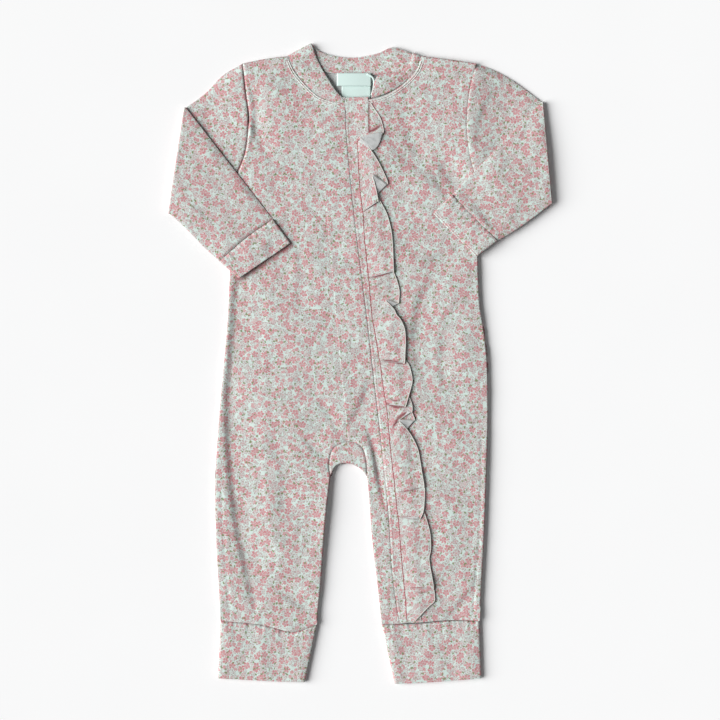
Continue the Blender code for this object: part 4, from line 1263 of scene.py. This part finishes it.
# %% Neckband
BAND_BACK = 1.0  # height of the band's middle behind the neck
BAND_LENGTH, BAND_WIDTH = 280, 13
band_rows = edge_shares(300, BAND_LENGTH, BAND / 2)
band_columns = edge_shares(12, BAND_WIDTH, BAND / 2)
band_lines = along(smooth(NECKBAND, 1200), band_rows)
under_front = 0.8  # the seam's edge runs on under the front's
outward = band_lines[:, :2] - band_lines[:, 2:4]
band_lines[:, :2] += under_front * outward / np.linalg.norm(outward, axis=1)[:, None] * band_lines[:, 4:5]
band_front = front_top(band_lines[:, :2])[:, None] - BAND / 2
band_level = BAND_BACK + (band_front - BAND_BACK) * np.clip(band_lines[:, 4:5], 0, 1)
band_seam, band_edge = band_lines[:, None, :2], band_lines[:, None, 2:4]
band_plan = band_seam + (band_edge - band_seam) * band_columns[None, :, None]
band_wave = rumple(band_plan.reshape(-1, 2), 9, (6.0, 30.0), 0.006).reshape(band_plan.shape[:2])
on_front = np.clip(band_lines[:, 4:5], 0, 1)
band_height = band_level + 0.45 * np.sin(np.pi * band_columns)[None] * on_front
band_height = band_height + band_wave * (0.3 + 0.7 * on_front)
band_points = np.dstack([band_plan, np.broadcast_to(band_height, band_plan.shape[:2])])
neckband = doubled(band_points, band_rows, band_columns, BAND_LENGTH, BAND_WIDTH, BAND)
# painted shade: a dark line along the band's free edge where it lies on the left front, and a lighter one
# along its seam edge
free_edge_shade = np.exp(-(((1 - band_columns) / 0.09) ** 2))[None] * (band_lines[:, :1] > 20) * on_front
seam_edge_shade = 0.35 * np.exp(-(((band_columns - 0.06) / 0.05) ** 2))[None] * on_front
neckband[0] = neckband[0]._replace(tuck=0.8 * free_edge_shade + seam_edge_shade)
made = piece("neckband_cloth", neckband, [BAND_PRINT])
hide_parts("neckband")
laid_sheet(made, neckband[:1])

# %% [markdown]
# ## Labels
#
# Two ribbon labels are sewn into the back neck, one over the other, with a narrow loop of the same
# ribbon beside them. A label could be a plain box, but a slight bow across its width catches the
# light as ribbon does. They stay bare.

# %% Labels
Label = namedtuple("Label", "left right bottom top height bow")
RIBBON_FINISH = Graph("label_ribbon")
ribbon_place = flat_place(RIBBON_FINISH)
ribbon_inputs = {"Vector": ribbon_place, "Scale": 3.2}
ribbon_wave = RIBBON_FINISH.add("ShaderNodeTexWave", ribbon_inputs, bands_direction="Y")
ribbon_tint = RIBBON_FINISH.mix(ribbon_wave.outputs[1], colour(208, 231, 225), colour(222, 240, 235))
cotton(RIBBON_FINISH, ribbon_tint, ribbon_place, 0.15, 0.3, 0.45)
LOOP_POINTS = ((6.9, 257.1), (12.0, 253.4), (13.2, 248.2), (12.5, 242.9), (10.9, 237.8))
LOOP_HEIGHT = 4.1


def label_grid(label):
    """A ribbon bowed up across its width: height + bow sin(pi u)."""
    u, v = np.meshgrid(np.linspace(0, 1, 24), np.linspace(0, 1, 12))
    x = label.left + (label.right - label.left) * u
    y = label.top + (label.bottom - label.top) * v
    z = label.height + label.bow * np.sin(np.pi * u) - 0.15 * v
    return Grid(np.dstack([x, y, z]), np.dstack([x, y]))


for name, node, label in (
    ("neck_label_ribbon", "neck_label", Label(-19.5, 10.8, 246.2, 257.4, 3.6, 0.5)),
    ("size_label_ribbon", "size_label", Label(-15.2, 10.4, 235.2, 257, 2.3, 0.3)),
):
    made = piece(name, [label_grid(label)], [RIBBON_FINISH.material], RIBBON)
    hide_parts(node)
    if node == "neck_label":
        loop_path = smooth([(*point, LOOP_HEIGHT) for point in LOOP_POINTS], 60)
        loop = piece("label_loop", [tube(loop_path, 0.8, 8, 0.4)], [RIBBON_FINISH.material])
    laid_sheet(made, [label_grid(label)])

# %% [markdown]
# ## The sleeves
#
# Each sleeve is a flat tube. It leaves the armhole, folds over on its outer edge and comes back
# across the front. A plane bent by a modifier would stretch the print at the fold. So its ring is
# worked out as two layers with a half round at each end, and carried along a path of three parts:
# the upper arm, a half turn about a line 3.9 mm above the surface, and the forearm.

# %% Rings and rolls
SLEEVE_DIP = 0.75  # a crease goes no deeper, so that the two layers of the sleeve stay apart
FOLD_AXIS = 3.9  # height of the line that a sleeve folds over
FOLD_FLAT = 0.45  # the fold is pressed: its reach sideways, as a share of its height
FOLD_ARC = 3.0  # radius of a circle as long as the pressed fold
CORNER_SAG = 1.6  # how much lower the forearm lies at the upper corner of its fold
FOREARM_REST = 4.5  # height at which the forearm lies on the front
SLEEVE_WALL = 0.55
SLEEVE_EDGE, SLEEVE_MIDDLE = 1.25, 2.3  # height of the flat tube at its edges and in its middle
SLEEVE_SWELL = 0.45  # how much fuller its upper layer is at the armhole
ARM_ROWS, FOLD_ROWS, FOREARM_ROWS = 60, 18, 110  # rings of the upper arm, the fold and the forearm
MEET_BODY = 0.7  # how far the upper arm stands above the body's height beside the armhole
ARMHOLE_DIP, CUFF_DIP = 0.8, 1.0  # depth of the seams at the sleeve's two ends
ARMHOLE_PAINTED_SHADE, CUFF_PAINTED_SHADE = 0.8, 0.5  # painted shade in those seams
CUFF_LIFT = 1.3  # how much a sleeve stands up beside its cuff's seam if it isn't drawn in there


def ring_profile(across, around=7):
    """Share, outward and upward parts of a flattened ring: along the low layer and back on the high one."""
    s = np.linspace(0, 1, across)
    t = np.radians(np.linspace(0, 180, around + 2))[1:-1]
    share = np.concatenate([s, np.ones(around), s[::-1], np.zeros(around)])
    outward = np.concatenate([0 * s, np.sin(t), 0 * s, -np.sin(t)])
    upward = np.concatenate([0 * s - 1, -np.cos(t), 0 * s + 1, np.cos(t)])
    return share, outward, upward


def ring_plan(rows, profile, half):
    """Plan of each ring: the row at its shares, drawn in by half the height, and past its ends."""
    share, outward = profile[:2]
    width = np.linalg.norm(rows[:, -1] - rows[:, 0], axis=1)[:, None]
    unit = (rows[:, -1] - rows[:, 0]) / width
    place = (half + share[None] * (width - 2 * half)) / width * (rows.shape[1] - 1)
    low = np.clip(place.astype(int), 0, rows.shape[1] - 2)
    part = (place - low)[..., None]
    number = np.arange(len(rows))[:, None]
    plan = rows[number, low] * (1 - part) + rows[number, low + 1] * part
    return plan + unit[:, None] * (half * outward)[None, :, None]


Sleeve = namedtuple("Sleeve", "side out top_edge fold seam end under_edge drawn_in creases")
RIGHT_SLEEVE = Sleeve(
    "right", -1, ((-120.0, 255.5), (-134.5, 240.5)), ((-154.0, 227.5), (-168.0, 134.0)),
    ((-75.5, 129.0), (-99.1, 112.2), (-122.5, 92.0)), ((-60.0, 108.0), (-105.5, 76.8)),
    ((-153.0, 121.8), (-138.0, 106.2)), 1.0,
    (
        Crease(5.0, 0.6, ((-118, 244), (-132, 226), (-140, 206))),
        Crease(6.0, 0.5, ((-150, 190), (-132, 168), (-118, 152))),
        Crease(5.0, 0.5, ((-158, 150), (-140, 138), (-126, 124))),
        Crease(4.0, 0.5, ((-96, 118), (-106, 128), (-112, 142))),
    ),
)
LEFT_SLEEVE = Sleeve(
    "left", 1, ((119.0, 260.0), (137.0, 250.0)), ((162.5, 232.5), (170.5, 142.5)),
    ((81.5, 150.5), (102.0, 129.5), (121.5, 110.0)), ((66.0, 135.5), (104.5, 97.0)),
    ((152.0, 129.5), (137.0, 119.0)), 0.35,
    (
        Crease(6.0, 1.1, ((113, 232), (108, 214), (104, 194))),
        Crease(7.0, 1.2, ((124, 190), (142, 178), (160, 165))),
        Crease(6.0, 1.3, ((84, 160), (101.6, 147), (118, 124))),
        Crease(5.0, 0.5, ((150, 215), (140, 190), (126, 168))),
    ),
)


def sleeve_rings(sleeve):
    """Points of the sleeve's skin, ring by ring, and their places on the flat cut.

    A ring's middle stands at a radius from the fold line, start + (stop - start) turn / pi, and its
    two layers at half the tube's height on each side of that.
    """
    fold = np.array(sleeve.fold)
    down = (fold[1] - fold[0]) / np.linalg.norm(fold[1] - fold[0])
    normal = sleeve.out * np.array([-down[1], down[0]]) * np.sign(-down[1])
    axis = fold - FOLD_FLAT * FOLD_AXIS * normal
    armhole = ARMHOLE[sleeve.side]
    columns = np.linspace(0, 1, 80)
    axis_row = along(axis, columns)
    seam = smooth(sleeve.seam)
    upper_top = smooth([armhole[0], *sleeve.top_edge, axis[0]])
    upper_low = np.array([armhole[-1], axis[1]])
    upper = coons(upper_top, upper_low, armhole, axis_row, np.linspace(0, 1, ARM_ROWS), columns)
    fore_top = np.array([axis[0], seam[0]])
    fore_low = smooth([axis[1], *sleeve.under_edge, seam[-1]])
    fore_rows = np.linspace(0, 1, FOREARM_ROWS)
    fore = coons(fore_top, fore_low, axis_row, along(seam, columns), fore_rows, columns)
    half_turn = np.radians(np.linspace(0, 180, FOLD_ROWS))
    turn = np.concatenate([np.zeros(ARM_ROWS), half_turn, np.full(FOREARM_ROWS, np.pi)])[:, None]
    rows = np.concatenate([upper, np.repeat(axis_row[None], FOLD_ROWS, axis=0), fore])
    profile = ring_profile(86)
    middle = np.sin(np.pi * profile[0])[None]
    tall = SLEEVE_EDGE + (SLEEVE_MIDDLE - SLEEVE_EDGE) * middle**0.5
    plan = ring_plan(rows, profile, SLEEVE_EDGE / 2)
    unrolled = plan.copy()
    start, stop = FOLD_AXIS - tall / 2, FOREARM_REST + tall / 2 - FOLD_AXIS
    radius = start + (stop - start) * turn / np.pi - profile[2][None] * tall / 2
    height = FOLD_AXIS - radius * np.cos(turn)
    corner_gap = np.linalg.norm(plan - axis[0], axis=2)
    height -= CORNER_SAG * (1 - np.cos(turn)) / 2 * np.exp(-((corner_gap / 30) ** 2))
    plan = plan + (FOLD_FLAT * radius * np.sin(turn))[..., None] * normal
    flat = plan.reshape(-1, 2)
    facing = np.maximum(profile[2][None] * np.cos(turn), 0) ** 2
    way = np.concatenate([np.linspace(0, 1, ARM_ROWS), np.ones(FOLD_ROWS), fore_rows[::-1]])[:, None]
    relief = RELIEF * creased(flat, sleeve.creases) + rumple(flat, 11 + sleeve.out)
    relief = relief.reshape(plan.shape[:2]) * rounded(1 - way, 0.2)
    relief = np.maximum(relief, SLEEVE_DIP * (np.exp(np.minimum(relief, 0) / SLEEVE_DIP) - 1))
    swell = SLEEVE_SWELL * middle * np.sqrt(np.maximum(1 - way**3, 0))
    height = height + facing * (swell + relief * np.minimum(1, 4 * middle))
    # the upper arm meets the body's height at the armhole and dips into the seam there
    body = front_top(armhole[::5]).mean()
    seam_gap = nearest(flat, armhole[::5])[0].reshape(plan.shape[:2])
    upper_arm, forearm = (turn == 0) * facing, (turn > 3) * facing
    meet = (body + MEET_BODY - SLEEVE_MIDDLE) * np.exp(-((seam_gap / 22) ** 2))
    height += upper_arm * meet * np.minimum(1, 8 * middle)
    height -= upper_arm * ARMHOLE_DIP * sleeve.drawn_in * np.exp(-((seam_gap / 0.9) ** 2))
    cuff_gap = nearest(flat, seam[::8])[0].reshape(plan.shape[:2])
    height -= forearm * CUFF_DIP * sleeve.drawn_in * np.exp(-((cuff_gap / 1.3) ** 2))
    lift = (1 - sleeve.drawn_in) * CUFF_LIFT * np.minimum(1, 4 * middle)
    height += forearm * lift * np.exp(-((cuff_gap / 5) ** 2))
    # the flat cut: distance from the fold line one way and along it the other, unrolled
    from_fold, level = (unrolled - axis[0]) @ normal, (unrolled - axis[0]) @ down
    folded = np.where(turn > 0, turn * FOLD_ARC, from_fold)
    from_fold = np.where(turn > 3, np.pi * FOLD_ARC - from_fold, folded)
    # painted shade in the armhole and cuff seams, and at the fold and the ring's ends
    painted_shading = upper_arm * ARMHOLE_PAINTED_SHADE * sleeve.drawn_in * np.exp(-((seam_gap / 0.8) ** 2))
    painted_shading = painted_shading + forearm * CUFF_PAINTED_SHADE * sleeve.drawn_in * np.exp(-((cuff_gap / 0.8) ** 2))
    outline = np.maximum(abs(profile[1])[None] ** 4, np.exp(-(((turn - 1.9) / 0.7) ** 2)))
    painted_shading = painted_shading + OUTLINE_PAINTED_SHADE * outline
    return np.dstack([plan, height]), np.dstack([from_fold + 60 * sleeve.out, level + 700]), painted_shading


for sleeve in (RIGHT_SLEEVE, LEFT_SLEEVE):
    points, cloth, painted_shading = sleeve_rings(sleeve)
    grids = [Grid(points, cloth, ring=True, flip=sleeve.out < 0, tuck=painted_shading)]
    made = piece(f"{sleeve.side}_sleeve_cloth", grids, [PRINT, REVERSE], SLEEVE_WALL)
    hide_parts(f"{sleeve.side}_sleeve")
    laid_sheet(made, grids)

# %% [markdown]
# ## Cuffs
#
# A cuff is the same knit folded double into a short tube. Its skin runs down the outside, round
# the lip and back up the inside, so the profile is carried round the flattened ring. Where it
# joins the sleeve or the leg it is gathered a little, and that makes the small puckers.

# %% Cuffs
def cuff_skin(seam, end, low, high, seed, drawn_in=1.0, lower_out=0.0):
    """Rings down the outside, over the lip and up the inside; the skin is drawn in by its depth.

    The lower layer may stand out past the upper one, by lower_out at the lip.
    """
    half, lip = (high - low) / 2, BAND / 2
    length = np.linalg.norm(end.mean(axis=0) - seam.mean(axis=0))
    turn = np.radians(np.linspace(0, 180, 9))
    outside = np.linspace(0, 1, 34) * (1 - lip / length)
    share = np.concatenate([outside[:-1], outside[-1] + lip / length * np.sin(turn), outside[-2::-1], [0]])
    depth = np.concatenate([np.zeros(33), lip * (1 - np.cos(turn)), np.full(33, 2 * lip), [0]])
    rows = seam[None] + (end - seam)[None] * share[:, None, None]
    profile = ring_profile(90)
    plan = ring_plan(rows, profile, min(half, 2 * lip))
    unit = rows[:, -1] - rows[:, 0]
    unit /= np.linalg.norm(unit, axis=1)[:, None]
    plan -= unit[:, None] * (depth[:, None] * profile[1][None])[..., None]
    downward = (end.mean(axis=0) - seam.mean(axis=0)) / length
    shown = lower_out * smoothstep((share[:, None] - 0.5) * 2) * np.maximum(-profile[2], 0)[None]
    plan += shown[..., None] * downward
    height = low + half + (half - depth)[:, None] * profile[2][None]
    way = share[:, None] * length
    outer = np.clip(1 - depth / lip, 0, 1)[:, None] * np.maximum(profile[2], 0)[None] ** 2
    middle = np.minimum(1, 6 * np.sin(np.pi * profile[0]))[None]
    rng = np.random.default_rng(seed)
    phase = profile[0] * np.linalg.norm(seam[-1] - seam[0])
    pucker = sum(np.sin(2 * np.pi * phase / size + rng.random() * 6) for size in (4.3, 6.1, 9.7))[None] / 3
    relief = 0.55 * pucker * np.exp(-way / 5.0) - 0.9 * drawn_in * np.exp(-((way / 1.2) ** 2))
    relief = relief + 0.35 * np.sin(np.pi * share)[:, None] * middle
    flat = plan.reshape(-1, 2)
    relief = relief + rumple(flat, seed, (8.0, 40.0), 0.006).reshape(plan.shape[:2]) * middle
    # painted shade at the seam, at the ring's ends, and in the slit where the lower layer stands out at the
    # lip
    tuck = 0.35 * drawn_in * np.exp(-((way / 0.7) ** 2)) + OUTLINE_PAINTED_SHADE * abs(profile[1])[None] ** 4
    ledge = (way + shown - length + 0.3) / 0.5
    tuck = tuck + 0.9 * (shown > 0) * (depth[:, None] > lip) * np.exp(-(ledge**2))
    return np.dstack([plan, height + outer * relief]), tuck


def line_of(ends, count=60):
    """A smooth line through three points, or a straight one between two."""
    return smooth(ends, count) if len(ends) > 2 else along(np.array(ends, float), np.linspace(0, 1, count))


RIGHT_LEG_END = ((-124.0, -274.5), (-78.0, -277.0), (-47.5, -278.0))
LEFT_LEG_END = ((31.5, -279.5), (62.0, -278.0), (107.5, -274.5))
ON_FRONT = (4.55, 7.7)  # lower and upper face of a sleeve's cuff
ON_FLOOR = (0.0, 4.2)  # the same of a leg's cuff
for name, seam, end, (low, high), rests in (
    ("right_sleeve_cuff", RIGHT_SLEEVE.seam, RIGHT_SLEEVE.end, ON_FRONT, "right_front_cloth"),
    ("left_sleeve_cuff", LEFT_SLEEVE.seam, LEFT_SLEEVE.end, ON_FRONT, "left_front_cloth"),
    ("right_leg_cuff", RIGHT_HEM, RIGHT_LEG_END, ON_FLOOR, "floor"),
    ("left_leg_cuff", LEFT_HEM, LEFT_LEG_END, ON_FLOOR, "floor"),
):
    seam, end = line_of(seam), line_of(end)
    drawn_in, lower_out = (0.35, 1.8) if name == "left_sleeve_cuff" else (0.8, 0.0)
    points, tuck = cuff_skin(seam, end, low, high, len(name) + int(seam[0, 0]) % 7, drawn_in, lower_out)
    across, down = seam[-1] - seam[0], end[0] - seam[0]
    inside_out = across[0] * down[1] - across[1] * down[0] < 0
    grids = [Grid(points, points[..., :2] + [300, 0], True, inside_out, tuck)]
    made = piece(f"{name}_cloth", grids, [BAND_PRINT])
    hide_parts(name)
    laid_sheet(made, [Grid(points[:38], None, ring=True)])

# %% [markdown]
# ## Sewing
#
# Stitches are small capsules of thread. One capsule of a few dozen faces is worked out once, and
# whole arrays turn and place it along each line of sewing.

# %% Stitches
def stitched(name, lines, material, length=2.1, gap=0.6, radius=0.32):
    """Capsules along lines on the cloth: centre + turned template, all in one array."""
    angle = np.linspace(0, 2 * np.pi, 6, endpoint=False)
    rise = np.radians([-90, -50, 0, 0, 50, 90])
    shift = np.array([-0.5, -0.5, -0.5, 0.5, 0.5, 0.5]) * length
    ringed = np.cos(rise)[:, None] * radius
    template = np.dstack([
        np.broadcast_to((shift + np.sin(rise) * radius)[:, None], (6, 6)),
        ringed * np.cos(angle)[None],
        ringed * np.sin(angle)[None] * 0.8,
    ]).reshape(-1, 3)
    faces = grid_faces(6, 6, True)[:, ::-1]
    vertices, corners, start = [], [], 0
    for line in lines:
        count = max(2, int(steps_of(line).sum() / (length + gap)))
        shares = (np.arange(count) + 0.5) / count
        centre = along(line, shares)
        before, after = np.maximum(0, shares - 0.2 / count), np.minimum(1, shares + 0.2 / count)
        way = along(line, after) - along(line, before)
        way /= np.linalg.norm(way, axis=1)[:, None]
        side = np.cross((0, 0, 1.0), way)
        side /= np.linalg.norm(side, axis=1)[:, None]
        up = np.cross(way, side)
        turned = np.einsum("nij,kj->nki", np.stack([way, side, up], axis=2), template)
        vertices.append((centre[:, None] + turned).reshape(-1, 3))
        corners.append((faces[None] + 36 * np.arange(count)[:, None, None]).reshape(-1, 4) + start)
        start += 36 * count
    vertices = np.vstack(vertices)
    corners = np.vstack(corners)
    mesh = mesh_of(name, vertices - [*LAYOUT_CENTRE, 0], corners, vertices[corners.ravel()][:, :2])
    mesh.polygons.foreach_set("use_smooth", np.ones(len(mesh.polygons), bool))
    mesh.materials.append(material)
    made = bpy.data.objects.new(name, mesh)
    bpy.context.scene.collection.objects.link(made)
    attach(made, "root")
    print(name, "has", start // 36, "stitches")
    return made


def on_front(line, above=0.0):
    """A line of the plan laid on the front, a little above it."""
    return np.column_stack([line, front_top(line) + above])


PALE_THREAD = thread("pale_thread", (240, 240, 235), 0.35)
SOFT_THREAD = thread("soft_thread", (208, 180, 176), 0.35)
ROSE_THREAD = thread("rose_thread", (176, 88, 94), 0.35)
neck_seams = [beside(line, -apart) for line in (RIGHT_NECK, LEFT_NECK) for apart in (1.5, 3.2)]
neck_seams = [part_of(line, 0.06, 0.94) for line in neck_seams]
made = stitched("neck_stitches", [on_front(line, 0.12) for line in neck_seams], PALE_THREAD, 2.3, 0.5, 0.4)

placket_topstitch = beside(PLACKET_SEAM, 1.9)
ruffle_stitch = along(ruffle_points[70:, 0] + np.array([-0.1, 0, 0.05]), np.linspace(0, 1, 500))
sewn = np.column_stack([placket_topstitch, placket_middle(placket_topstitch) + PLACKET_WALL / 2 + 0.05])
made = stitched("placket_stitches", [part_of(sewn, 0.01, 0.99, 400)], SOFT_THREAD, 2.0, 0.9, 0.16)
made = stitched("ruffle_stitches", [ruffle_stitch], ROSE_THREAD, 1.7, 0.7, 0.3)

# %% [markdown]
# ## Camera, light and floor
#
# The camera looks straight down from 2.5 m, and its lens is chosen so that the frame is 633.6 mm
# wide on the surface, as in the photograph. An area light would fall off across the suit, so a
# wide soft sun comes low from the left, which lays the soft shadows to the suit's right.

# %% Studio
FRAME_WIDTH = 0.6336  # metres on the surface over 720 pixels
CAMERA_HEIGHT = 2.5
SENSOR = 36.0
camera_data = bpy.data.cameras.new("camera")
camera_data.sensor_width = SENSOR
camera_data.lens = SENSOR * CAMERA_HEIGHT / FRAME_WIDTH
camera_data.clip_end = 20.0
camera = bpy.data.objects.new("camera", camera_data)
camera.location = (-0.00042, 0.00303, CAMERA_HEIGHT)
bpy.context.scene.collection.objects.link(camera)
bpy.context.scene.camera = camera

sun_data = bpy.data.lights.new("window_light", "SUN")
sun_data.energy = 4.85
sun_data.angle = 0.85
sun = bpy.data.objects.new("window_light", sun_data)
light_from = np.array([-0.84, -0.04, 0.54])
sun.rotation_euler = (
    math.atan2(math.hypot(*light_from[:2]), light_from[2]),
    0.0,
    math.atan2(light_from[0], -light_from[1]),
)
bpy.context.scene.collection.objects.link(sun)

world = bpy.data.worlds.new("studio")
world.use_nodes = True
world.node_tree.nodes["Background"].inputs["Color"].default_value = (0.97, 0.985, 1.0, 1.0)
world.node_tree.nodes["Background"].inputs["Strength"].default_value = 0.155
bpy.context.scene.world = world
bpy.context.scene.view_settings.view_transform = "Standard"

FLOOR_HALF, FLOOR_LEVEL = 3, -0.0003
floor_mesh = bpy.data.meshes.new("floor")
floor_turns = ((-1, -1), (1, -1), (1, 1), (-1, 1))
floor_corners = [(FLOOR_HALF * x, FLOOR_HALF * y, FLOOR_LEVEL) for x, y in floor_turns]
floor_mesh.from_pydata(floor_corners, [], [(0, 1, 2, 3)])
floor = bpy.data.objects.new("floor", floor_mesh)
bpy.context.scene.collection.objects.link(floor)
floor_paper = Graph("floor_paper")
floor_grain = floor_paper.add("ShaderNodeTexNoise", {"Scale": 60.0, "Detail": 3.0}).outputs[0]
floor_tone = floor_paper.mix(floor_grain, (0.95, 0.95, 0.95, 1), (0.97, 0.97, 0.97, 1))
floor_paper.join(floor_tone, floor_paper.shader.inputs["Base Color"])
floor_paper.shader.inputs["Roughness"].default_value = 1.0
floor_paper.shader.inputs["Specular IOR Level"].default_value = 0.0
floor_mesh.materials.append(floor_paper.material)
